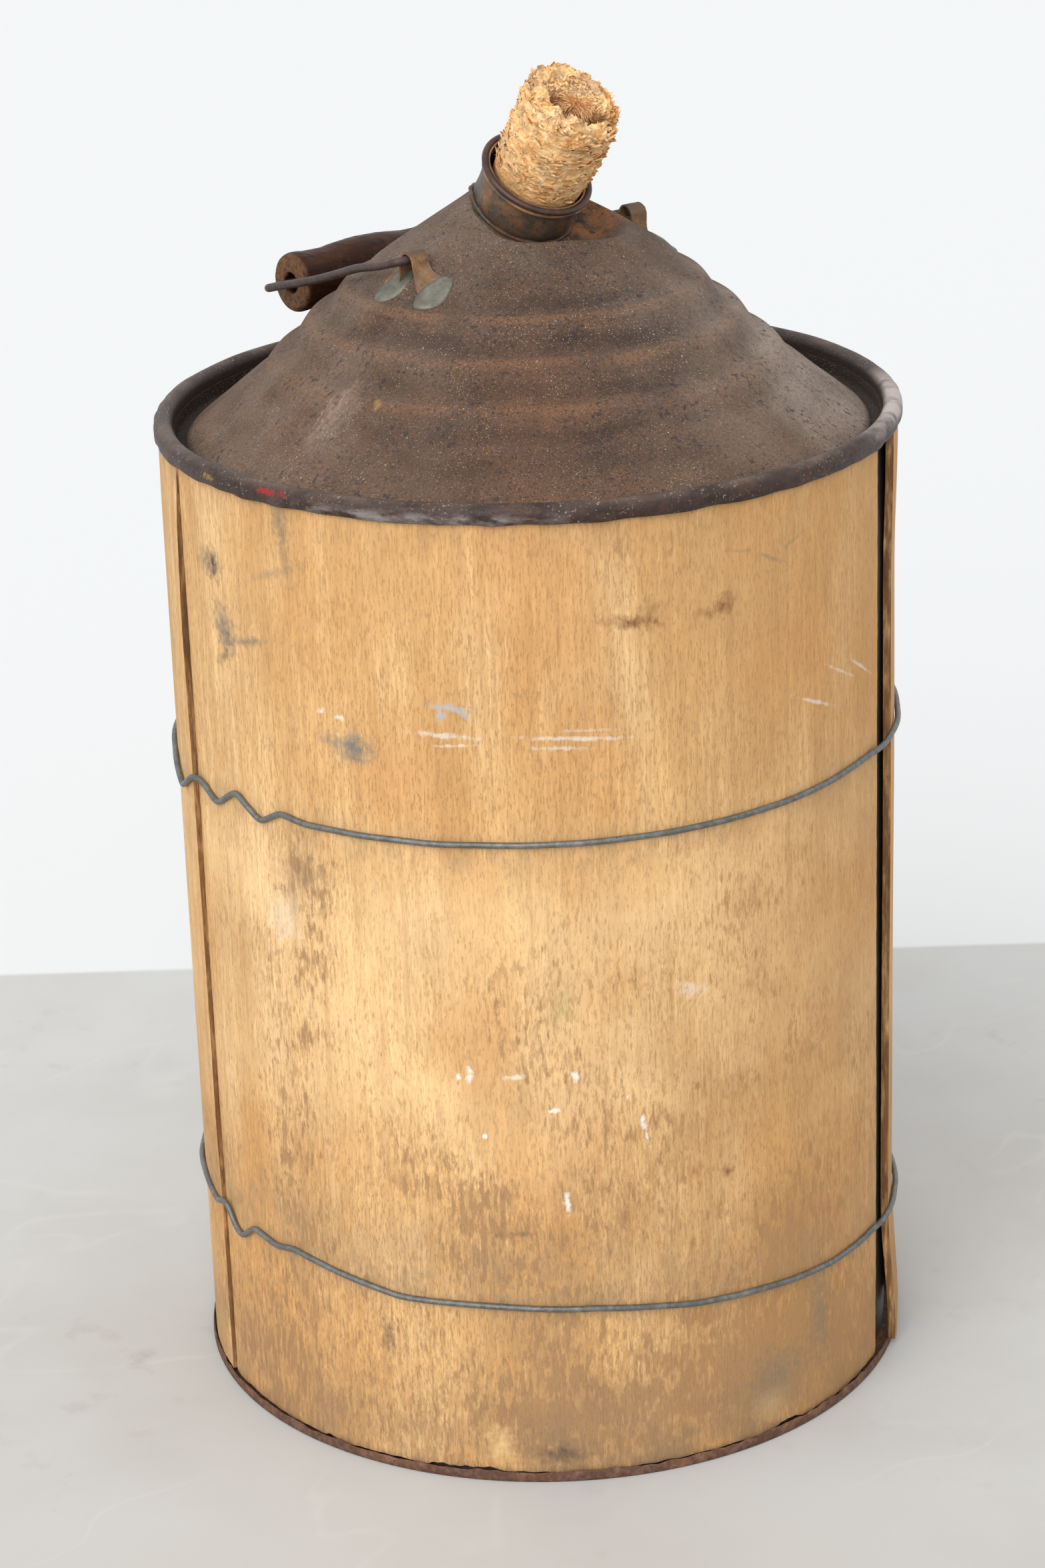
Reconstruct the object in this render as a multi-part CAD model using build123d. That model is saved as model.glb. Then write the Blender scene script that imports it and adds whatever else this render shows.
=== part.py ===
from build123d import *
import math
import os

# Wood-jacketed five-gallon oil can: a soldered tinplate tank in a bound veneer jacket.
# Millimetres.  The origin is the centre of the standing edge, +Z is up and -Y is the side
# the oil pours from.  The bail swings about a line parallel to X.

# ---------------------------------------------------------------- driving dimensions
SHEET = 0.75                 # tinplate thickness
HOOP_SHEET = 0.7             # hoop iron thickness
GAP = 0.05                   # solder film between soldered sheets
TANK_RADIUS = 134.6          # outside of the rolled tank
TANK_EDGES = (0.85, 380.0)   # heights of the rolled tank's lower and upper edges
TANK_FLOOR = 5.2             # underside of the recessed bottom disc
SEAM_LAP = (88.0, 93.0)      # angles about Z that the side seam's lap spans
SEAM_FOOT = 7.5              # height at which the lap starts, clear of the bottom's solder
SEAM_BEAD_WIDTH = 0.6        # degrees
SEAM_BEAD_DEPTH = 0.9
BOTTOM_BEAD = 1.4

RIM_RADIUS = 140.3           # outside of the top hoop
RIM_TOP = 384.0              # height of the can without its breast
RIM_SKIRTS = (372.0, 377.0)  # lower edges of the hoop's inner and outer walls
BOTTOM_RIM_RADIUS = 140.1
BOTTOM_RIM_HEIGHT = 4.0
BOTTOM_RIM_FLOOR = 0.8

VENEER = 3.0                 # jacket thickness
JACKET_BOTTOM = 1.0
JACKET_TOP = 381.0
# outer radius of each jacket sheet, then the angles about Z it spans, counter-clockwise from +X
FRONT_SHEET = (138.0, 163.0, 297.2)
RIGHT_SHEET = (137.8, 303.8, 413.0)
BACK_SHEET = (138.9, 53.3, 162.0)

MOAT_FLOOR = 373.5           # upper face of the breast's flat rim
MOAT_LIP = 5.0               # upstand of that rim against the hoop
FOOT_RADIUS = 128.5          # where the breast rises from the moat
FOOT_STEP = 0.7              # upright step at that foot
BREAST_FALL = 0.801          # mean fall of the breast per millimetre of radius
BREAST_CROWN = 5.2           # how far the breast bows above a straight cone
CROWN_MIDDLE, CROWN_REACH = 60.0, 52.0   # radius of the bow's middle, and its half width
STEP_PITCH = 14.0            # spacing of the pressed steps
STEP_HEIGHT = 1.0
FIRST_STEP, LAST_STEP = 56.0, 105.0
BREAST_POINTS = 40           # points along the breast's outline

NECK_TILT = 35.2             # degrees from the vertical, towards -Y
NECK_FOOT_HEIGHT = 456.6     # where the neck's axis crosses Z
NECK_BORE = 18.4
NECK_WALL = 0.6
NECK_LENGTH = 16.8           # from that crossing to the lip wire's centre
NECK_TAIL = -16.0            # lowest station of the neck before it is scribed to the breast
NECK_FOLD = 0.6              # neck sheet carried up into the lip wire
LIP_WIRE = 1.15              # radius of the wire in the lip
COLLAR_RADIUS = 20.6
COLLAR_SPAN = (13.2, 15.6)
NECK_BEAD_WIDTH, NECK_BEAD_HEIGHT = 1.8, 1.5

# flat-bottomed recess pressed round the neck: corners across the can and up its slope
POCKET_CORNERS = [(-23.5, 22.0), (-23.5, -28.5), (21.5, -28.5), (19.6, 22.0)]
POCKET_ROUNDING = [12.0, 18.0, 9.0, 12.0]
POCKET_FLARE = 18.0          # degrees that its wall leans outwards
POCKET_REACH = 40.0          # how far up the cutting space is carried

EAR_INSIDE, EAR_OUTSIDE = 49.0, 56.0     # |X| of the strap's two edges
EAR_CENTRE_Y = -2.0
EAR_ARCH_HEIGHT = 445.4      # centre of the arch
EAR_ARCH_RADIUS = 4.0
EAR_STRAP = 0.8
EAR_LEG_END = 425.0          # height inside the breast at which the legs are cut off
EAR_FOOT_REACH = 11.0        # how far each foot reaches from the ear's centre
PAD_PLACES = [(55.5, -15.7), (57.5, 4.3)]
PAD_LENGTH, PAD_WIDTH, PAD_RISE = 15.0, 10.4, 1.3
PAD_HEADING = 31.0           # degrees from X to a pad's long axis, seen from above

BAIL_WIRE = 1.6              # radius
PIVOT_HEIGHT = 446.5
BAIL_END = 50.0              # |X| where the wire stops inside the ear
BAIL_SHOULDER = 60.2         # |X| where it turns back
BAIL_CORNER = 48.5           # |X| where it turns into the grip
BAIL_BEND = 4.5              # radius of its four bends
GRIP_Y, GRIP_Z = 96.8, 418.1
GRIP_HALF_LENGTH = 36.5
GRIP_END_RADIUS, GRIP_WAIST_RADIUS, GRIP_SWELL_RADIUS, GRIP_MIDDLE_RADIUS = 11.5, 11.0, 11.9, 12.5
GRIP_WAIST, GRIP_SWELL = 0.72, 0.38      # shares of the half length where those radii lie
GRIP_CHAMFER = 1.2
GRIP_HOLE = 4.0              # radius of its bore

COB_OFFSET = 0.6             # the cob leans on the neck's +X side
COB_BOTTOM, COB_TOP = -10.0, 56.0        # along the neck's axis
COB_RADII = (15.2, 17.0, 18.6, 19.0)     # foot, lip, above the lip, top
COB_HOLLOW_RADIUS, COB_HOLLOW_DEPTH = 6.0, 9.0

BINDING_WIRE = 1.25          # radius
BINDING_RADIUS = 140.7
UPPER_WIRE = (259.0, 1.1, 230.5)         # height, tilt, and heading of the line it tilts about
LOWER_WIRE = (69.0, 4.6, 80.0)
TWIST_ANGLE = 70.0           # angle about Z of the twisted ends
TWIST_LENGTH = 14.0
TWIST_RADIUS = 1.8
TWIST_STAND = 0.6            # how far the twisted ends stand out from the loop

# ---------------------------------------------------------------- shared geometry
SLOPE = math.hypot(1.0, BREAST_FALL)     # upright thickness per unit square to the breast
NECK_AXIS = Vector(0, -math.sin(math.radians(NECK_TILT)), math.cos(math.radians(NECK_TILT)))
NECK_PLANE = Plane(origin=(0, 0, NECK_FOOT_HEIGHT), x_dir=(1, 0, 0), z_dir=NECK_AXIS)
NECK_OUTSIDE = NECK_BORE + NECK_WALL


def ring(inner, outer, low, high, start=0.0, end=360.0):
    """A band of rectangular section between two radii, two heights and two angles."""
    middle = Pos((inner + outer) / 2, (low + high) / 2)
    section = Plane.XZ * middle * Rectangle(outer - inner, high - low)
    return Rot(0, 0, start) * revolve(section, Axis.Z, revolution_arc=end - start)


def turned(points):
    """A full turning about Z of a straight-sided outline drawn as radius and height."""
    return revolve(Plane.XZ * make_face(Polyline(*points, close=True)), Axis.Z)


def along_neck(outer, low, high, inner=0.0):
    """A cylinder or tube on the neck's axis between two stations."""
    disc = Circle(outer) - Circle(inner) if inner else Circle(outer)
    return extrude(NECK_PLANE.offset(low) * disc, high - low)


def breast_height(radius):
    """Height of the breast's outer face: a bowed cone with three pressed steps."""
    fall = BREAST_FALL * (radius - FOOT_RADIUS)
    bow = min(1.0, abs(radius - CROWN_MIDDLE) / CROWN_REACH)
    crown = BREAST_CROWN * math.cos(math.pi / 2 * bow) ** 2
    step = 0.0
    if FIRST_STEP < radius < LAST_STEP:
        fade = math.sin(math.pi * (radius - FIRST_STEP) / (LAST_STEP - FIRST_STEP)) ** 0.5
        phase = 2 * math.pi * (radius - FIRST_STEP) / STEP_PITCH
        step = -STEP_HEIGHT * fade * math.sin(phase)
    return MOAT_FLOOR + FOOT_STEP - fall + crown + step


def breast_bulk(rise=0.0):
    """Everything below the breast's outer face, raised by a constant amount."""
    radii = [FOOT_RADIUS * (1 - i / BREAST_POINTS) for i in range(BREAST_POINTS + 1)]
    curve = [(radius, breast_height(radius) + rise) for radius in radii]
    base = MOAT_FLOOR - 20.0
    outline = Spline(*curve) + Polyline(curve[-1], (0.0, base), (FOOT_RADIUS, base), curve[0])
    return revolve(Plane.XZ * make_face(outline), Axis.Z)


def pocket(shrink=0.0, floor=0.0):
    """The space of the recess round the neck, open upwards."""
    outline = make_face(FilletPolyline(*POCKET_CORNERS, radius=POCKET_ROUNDING, close=True))
    if shrink:
        outline = offset(outline, -shrink)
    return extrude(NECK_PLANE.offset(floor) * outline, POCKET_REACH, taper=-POCKET_FLARE)


def mirrored(shape):
    """The same piece on the -X side."""
    return mirror(shape, Plane.YZ)


# ---------------------------------------------------------------- tank
def tank_shell():
    """Rolled body, lapped inside along one side seam."""
    bore = TANK_RADIUS - SHEET
    lap = ring(bore - SHEET, bore + GAP, SEAM_FOOT, MOAT_FLOOR - 3.0, *SEAM_LAP)
    return ring(bore, TANK_RADIUS, *TANK_EDGES) + lap


def tank_seam_solder():
    """Solder run along the inner edge of the lap."""
    bore = TANK_RADIUS - SHEET
    start = SEAM_LAP[1] + 0.02
    return ring(bore - SEAM_BEAD_DEPTH, bore - GAP, SEAM_FOOT, MOAT_FLOOR - 3.0,
                start, start + SEAM_BEAD_WIDTH)


def tank_bottom():
    """Recessed bottom disc with its edge turned down."""
    edge = TANK_RADIUS - SHEET - GAP
    disc = ring(0.0, edge, TANK_FLOOR, TANK_FLOOR + SHEET)
    return disc + ring(edge - SHEET, edge, TANK_EDGES[0], TANK_FLOOR + SHEET)


def bottom_seam_solder():
    """Fillet of solder inside the tank where the disc meets the wall."""
    edge = TANK_RADIUS - SHEET - GAP
    base = TANK_FLOOR + SHEET
    return turned([(edge, base), (edge - BOTTOM_BEAD, base), (edge, base + BOTTOM_BEAD)])


def bottom_hoop():
    """Channel that stands on the floor and holds the lower edges of tank and jacket."""
    inner = TANK_RADIUS - 3 * SHEET - 3 * GAP
    floor = ring(inner, BOTTOM_RIM_RADIUS, 0.0, BOTTOM_RIM_FLOOR)
    outer_lip = ring(BOTTOM_RIM_RADIUS - HOOP_SHEET, BOTTOM_RIM_RADIUS, 0.0, BOTTOM_RIM_HEIGHT)
    inner_lip = ring(inner, inner + SHEET, 0.0, TANK_FLOOR - GAP)
    return floor + outer_lip + inner_lip


def top_hoop():
    """Rolled hoop over the upper edges of tank and jacket."""
    inner = TANK_RADIUS - 2 * SHEET - GAP
    half = (RIM_RADIUS - inner) / 2
    spring = RIM_TOP - half
    centre = Pos(inner + half, spring)
    lower_half = Pos(inner + half, spring - half) * Rectangle(3 * half, 2 * half)
    roll = centre * Circle(half) - centre * Circle(half - HOOP_SHEET) - lower_half
    arch = revolve(Plane.XZ * roll, Axis.Z)
    inner_wall = ring(inner, inner + HOOP_SHEET, RIM_SKIRTS[0], spring)
    outer_wall = ring(RIM_RADIUS - HOOP_SHEET, RIM_RADIUS, RIM_SKIRTS[1], spring)
    return arch + outer_wall + inner_wall


# ---------------------------------------------------------------- breast and neck
def cone_top():
    """Stepped breast, its recess for the neck, and its rim soldered inside the top hoop."""
    edge = TANK_RADIUS - 2 * SHEET - 2 * GAP
    skin = breast_bulk() - Pos(0, 0, -SHEET * SLOPE) * breast_bulk()
    skin -= ring(0.0, FOOT_RADIUS + 1.0, MOAT_FLOOR - 60.0, MOAT_FLOOR - SHEET)
    rim = ring(FOOT_RADIUS - 1.0, edge, MOAT_FLOOR - SHEET, MOAT_FLOOR)
    lip = ring(edge - SHEET, edge, MOAT_FLOOR - SHEET, MOAT_FLOOR + MOAT_LIP)
    dish = (pocket(-SHEET, -SHEET) - pocket()) & breast_bulk()
    shape = (skin - pocket(-SHEET, -SHEET)) + rim + lip + dish
    return shape - along_neck(NECK_BORE, 2 * NECK_TAIL, -2 * NECK_TAIL)


def neck_tube():
    """Short pouring neck with a folded collar, scribed to the breast at its foot."""
    tube = along_neck(NECK_OUTSIDE, NECK_TAIL, NECK_LENGTH + NECK_FOLD, NECK_BORE)
    collar = along_neck(COLLAR_RADIUS, *COLLAR_SPAN, inner=NECK_OUTSIDE - NECK_WALL / 2)
    return tube - (breast_bulk() - pocket()) + collar


def neck_lip_wire():
    """Wire rolled into the mouth's edge."""
    return NECK_PLANE.offset(NECK_LENGTH) * Torus(NECK_OUTSIDE + LIP_WIRE + GAP, LIP_WIRE)


def neck_solder():
    """Bead of solder that follows the foot of the neck over recess and breast."""
    raised = breast_bulk(NECK_BEAD_HEIGHT * SLOPE) - pocket(NECK_BEAD_HEIGHT, NECK_BEAD_HEIGHT)
    bead = along_neck(NECK_OUTSIDE + NECK_BEAD_WIDTH, NECK_TAIL, 12.0) & raised
    bead -= breast_bulk() - pocket()
    return bead - along_neck(NECK_OUTSIDE + GAP, 2 * NECK_TAIL, -2 * NECK_TAIL)


# ---------------------------------------------------------------- ears
def ear_outline(radius):
    """An arch of this radius on straight legs."""
    legs = EAR_ARCH_HEIGHT - EAR_LEG_END
    return Circle(radius) + Pos(0, -legs / 2) * Rectangle(2 * radius, legs)


def ear_strap():
    """Bent strap on the +X side: an arch on two legs, with a foot on the breast each way."""
    width = EAR_OUTSIDE - EAR_INSIDE
    inner = EAR_ARCH_RADIUS - EAR_STRAP
    origin = (EAR_INSIDE, EAR_CENTRE_Y, EAR_ARCH_HEIGHT)
    plane = Plane(origin=origin, x_dir=(0, 1, 0), z_dir=(1, 0, 0))
    arch = extrude(plane * (ear_outline(EAR_ARCH_RADIUS) - ear_outline(inner)), width)
    middle = Pos(EAR_INSIDE + width / 2, EAR_CENTRE_Y, EAR_ARCH_HEIGHT)
    reach = middle * Box(width, 2 * EAR_FOOT_REACH, 50.0)
    between = middle * Box(width + 2.0, 2 * inner, 70.0)
    feet = (breast_bulk(EAR_STRAP * SLOPE) & reach) - between
    return arch + feet - breast_bulk()


def ear_pads():
    """Two solder pads that cover the strap's feet on the +X side."""
    outline = Rot(0, 0, PAD_HEADING) * Ellipse(PAD_LENGTH / 2, PAD_WIDTH / 2)
    prisms = [extrude(Pos(x, y, EAR_LEG_END) * outline, 40.0) for x, y in PAD_PLACES]
    layer = breast_bulk(PAD_RISE * SLOPE) - breast_bulk()
    return (prisms[0] & layer) + (prisms[1] & layer) - ear_strap()


# ---------------------------------------------------------------- bail
def bail_plane():
    """Plane of the bail at rest: X along the pivot, Y out to the grip."""
    origin = (0, EAR_CENTRE_Y, PIVOT_HEIGHT)
    reach = Vector(0, GRIP_Y - EAR_CENTRE_Y, GRIP_Z - PIVOT_HEIGHT)
    return Plane(origin=origin, x_dir=(1, 0, 0), z_dir=Vector(1, 0, 0).cross(reach))


def bail_wire():
    """One wire from ear to ear, through the grip."""
    length = math.hypot(GRIP_Y - EAR_CENTRE_Y, GRIP_Z - PIVOT_HEIGHT)
    half = [(BAIL_END, 0), (BAIL_SHOULDER, 0), (BAIL_CORNER, length)]
    route = half + [(-x, y) for x, y in reversed(half)]
    path = bail_plane() * FilletPolyline(*route, radius=BAIL_BEND)
    section = Plane(origin=path @ 0, z_dir=path % 0) * Circle(BAIL_WIRE)
    return sweep(section, path=path)


def bail_grip():
    """Turned wooden grip, bored through for the wire."""
    half = GRIP_HALF_LENGTH
    shoulder = (half - GRIP_CHAMFER, GRIP_END_RADIUS)
    right = [shoulder, (half * GRIP_WAIST, GRIP_WAIST_RADIUS), (half * GRIP_SWELL, GRIP_SWELL_RADIUS)]
    belly = right + [(0, GRIP_MIDDLE_RADIUS)] + [(-x, r) for x, r in reversed(right)]
    end = [(half, GRIP_HOLE), (half, GRIP_END_RADIUS - GRIP_CHAMFER), shoulder]
    other_end = [(-x, r) for x, r in reversed(end)]
    outline = make_face(Spline(*belly) + Polyline(*other_end, *end))
    return Pos(0, GRIP_Y, GRIP_Z) * revolve(outline, Axis.X)


# ---------------------------------------------------------------- stopper
def cob_stopper():
    """Broken length of maize cob pushed into the neck."""
    foot, lip, above, top = COB_RADII
    side = [(foot, COB_BOTTOM + 3.0), (lip, NECK_LENGTH - 3.0),
            (above, NECK_LENGTH + 9.0), (top, COB_TOP - 6.0)]
    crest = [(top - 5.0, COB_TOP), (COB_HOLLOW_RADIUS, COB_TOP - 1.0), (0, COB_TOP - COB_HOLLOW_DEPTH)]
    base = [(0, COB_BOTTOM), (foot - 4.0, COB_BOTTOM)]
    outline = Spline(*side) + Polyline(side[-1], *crest, *base, side[0])
    shape = revolve(Plane.XZ * make_face(outline), Axis.Z)
    return Pos(COB_OFFSET, 0, 0) * (NECK_PLANE * shape)


# ---------------------------------------------------------------- jacket and bindings
def jacket_sheet(radius, start, end):
    """One bent veneer sheet."""
    return ring(radius - VENEER, radius, JACKET_BOTTOM, JACKET_TOP, start, end)


def binding_wire(height, tilt, heading):
    """Wire drawn round the jacket, with its ends twisted together and laid flat."""
    heading = math.radians(heading)
    line = Axis((0, 0, height), (math.cos(heading), math.sin(heading), 0))
    loop = Pos(0, 0, height) * Torus(BINDING_RADIUS, BINDING_WIRE)
    angle = math.radians(TWIST_ANGLE)
    end = Vector(math.cos(angle), math.sin(angle), 0) * (BINDING_RADIUS + TWIST_STAND)
    twist = Pos(end.X, end.Y, height - TWIST_LENGTH / 2) * Cylinder(TWIST_RADIUS, TWIST_LENGTH)
    return (loop + twist).rotate(line, tilt)


# ---------------------------------------------------------------- files
def all_parts():
    """Every node by name."""
    ear = ear_strap()
    pads = ear_pads()
    return {
        "tank_shell": tank_shell(),
        "tank_seam_solder": tank_seam_solder(),
        "tank_bottom": tank_bottom(),
        "bottom_seam_solder": bottom_seam_solder(),
        "bottom_hoop": bottom_hoop(),
        "top_hoop": top_hoop(),
        "cone_top": cone_top(),
        "neck_tube": neck_tube(),
        "neck_lip_wire": neck_lip_wire(),
        "neck_solder": neck_solder(),
        "ear_right": ear,
        "ear_left": mirrored(ear),
        "ear_right_solder": pads,
        "ear_left_solder": mirrored(pads),
        "bail_wire": bail_wire(),
        "bail_grip": bail_grip(),
        "cob_stopper": cob_stopper(),
        "jacket_front": jacket_sheet(*FRONT_SHEET),
        "jacket_right": jacket_sheet(*RIGHT_SHEET),
        "jacket_back": jacket_sheet(*BACK_SHEET),
        "binding_wire_upper": binding_wire(*UPPER_WIRE),
        "binding_wire_lower": binding_wire(*LOWER_WIRE),
    }


os.makedirs("parts", exist_ok=True)
for name, shape in all_parts().items():
    export_step(shape, f"parts/{name}.step")
    print(f"{name}: {shape.volume / 1000:.2f} cm3")
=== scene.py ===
import math

import bmesh
import bpy
import numpy as np
from mathutils import Matrix, Vector


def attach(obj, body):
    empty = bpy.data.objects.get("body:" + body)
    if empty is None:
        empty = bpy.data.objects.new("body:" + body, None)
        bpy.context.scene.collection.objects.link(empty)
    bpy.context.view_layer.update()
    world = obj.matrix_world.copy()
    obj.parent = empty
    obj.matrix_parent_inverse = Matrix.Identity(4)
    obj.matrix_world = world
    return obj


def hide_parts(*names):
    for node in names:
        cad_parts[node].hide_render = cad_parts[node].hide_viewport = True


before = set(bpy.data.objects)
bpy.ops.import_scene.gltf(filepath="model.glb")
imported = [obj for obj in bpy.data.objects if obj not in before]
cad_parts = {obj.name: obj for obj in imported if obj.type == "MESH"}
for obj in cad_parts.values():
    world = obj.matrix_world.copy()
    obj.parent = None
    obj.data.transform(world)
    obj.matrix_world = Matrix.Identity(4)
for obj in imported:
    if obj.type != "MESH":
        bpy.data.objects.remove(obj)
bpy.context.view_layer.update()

# Lengths in this script are millimetres until a mesh or a material is made.
MM = 0.001

# ---------------------------------------------------------------- sizes shared with the CAD model
VENEER = 3.0
FRONT_RADIUS, RIGHT_RADIUS, BACK_RADIUS = 138.0, 137.5, 138.9
FRONT_SPAN, RIGHT_SPAN, BACK_SPAN = (163.0, 297.2), (303.8, 413.0), (53.3, 162.0)
JACKET_TOP = 381.0

MOAT_FLOOR, MOAT_LIP_RADIUS = 373.5, 132.25
FOOT_RADIUS, FOOT_STEP = 128.5, 0.7
BREAST_FALL, BREAST_CROWN, CROWN_MIDDLE, CROWN_REACH = 0.801, 5.2, 60.0, 52.0
STEP_PITCH, STEP_HEIGHT, FIRST_STEP, LAST_STEP = 14.0, 1.4, 56.0, 105.0
SHEET = 0.75

NECK_TILT = math.radians(35.2)
NECK_FOOT = np.array((0.0, 0.0, 456.6))
NECK_RADIUS, NECK_WALL, NECK_LENGTH = 19.0, 0.6, 16.8
ACROSS = np.array((1.0, 0.0, 0.0))
UP_SLOPE = np.array((0.0, math.cos(NECK_TILT), math.sin(NECK_TILT)))
UP_NECK = np.array((0.0, -math.sin(NECK_TILT), math.cos(NECK_TILT)))

RIM_RADIUS, RIM_TOP = 140.3, 384.0
EAR_INSIDE, EAR_OUTSIDE, EAR_Y, EAR_ARCH_HEIGHT, EAR_ARCH_RADIUS = 49.0, 56.0, -2.0, 445.4, 4.0
PAD_PLACES, PAD_HEADING = [(55.5, -15.7), (57.5, 4.3)], math.radians(31.0)
PIVOT_HEIGHT, BAIL_WIRE, BAIL_END, BAIL_SHOULDER, BAIL_CORNER = 446.5, 1.6, 50.0, 60.2, 48.5
GRIP_Y, GRIP_Z, GRIP_HALF_LENGTH, GRIP_HOLE = 96.8, 418.1, 36.5, 4.0
UPPER_WIRE, LOWER_WIRE = (259.0, 1.1, 230.5), (69.0, 4.6, 80.0)   # height, tilt, tilt line's heading
TWIST_ANGLE = 70.0


# ---------------------------------------------------------------- points
def unit(vectors):
    """The same directions at length 1."""
    return vectors / np.linalg.norm(vectors, axis=-1, keepdims=True)


def ripple(points, size, seed, waves=16):
    """Smooth noise of about -1 to 1 with features of this size, at points in millimetres."""
    draw = np.random.default_rng(seed)
    points = np.asarray(points, float)
    directions = unit(draw.normal(size=(waves, points.shape[-1])))
    steps = directions * draw.uniform(0.5, 1.5, (waves, 1)) * 2 * math.pi / size
    phases = draw.uniform(0, 2 * math.pi, waves)
    return np.sin(points @ steps.T + phases).sum(-1) / math.sqrt(waves)


def smooth_step(value, start, end):
    """0 below start and 1 above end, with an easy change between them."""
    share = np.clip((value - start) / (end - start), 0, 1)
    return share * share * (3 - 2 * share)


def lesser(one, other, blend):
    """The smaller of two heights, rounded where they cross."""
    return (one + other - np.sqrt((one - other) ** 2 + blend ** 2)) / 2


def cylinder_point(radius, degrees, height):
    """Point in the row frame from radius, angle about Z and height."""
    radius, degrees, height = np.broadcast_arrays(radius, degrees, height)
    angle = np.radians(degrees)
    return np.stack([radius * np.cos(angle), radius * np.sin(angle), height], -1)


def neck_point(across, slope, station):
    """Point in the row frame from places across the can, up the neck's plane and along its axis."""
    across, slope, station = np.broadcast_arrays(across, slope, station)
    return (NECK_FOOT + across[..., None] * ACROSS + slope[..., None] * UP_SLOPE
            + station[..., None] * UP_NECK)


def grid_normals(grid, wrap):
    """Unit normals of a grid of points, which may close on itself across."""
    along = np.gradient(grid, axis=0)
    across = np.roll(grid, -1, 1) - np.roll(grid, 1, 1) if wrap else np.gradient(grid, axis=1)
    return unit(np.cross(along, across))


def periodic(degrees, knots, reach=9):
    """A value round a full turn, drawn smoothly through knots of angle and value."""
    knots = np.array(knots)
    fine = np.interp(np.arange(720) / 2, knots[:, 0], knots[:, 1], period=360)
    window = np.hanning(4 * reach + 1)
    padded = np.concatenate([fine[-2 * reach:], fine, fine[:2 * reach]])
    smooth = np.convolve(padded, window / window.sum(), "valid")
    return np.interp(degrees, np.arange(720) / 2, smooth, period=360)


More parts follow.
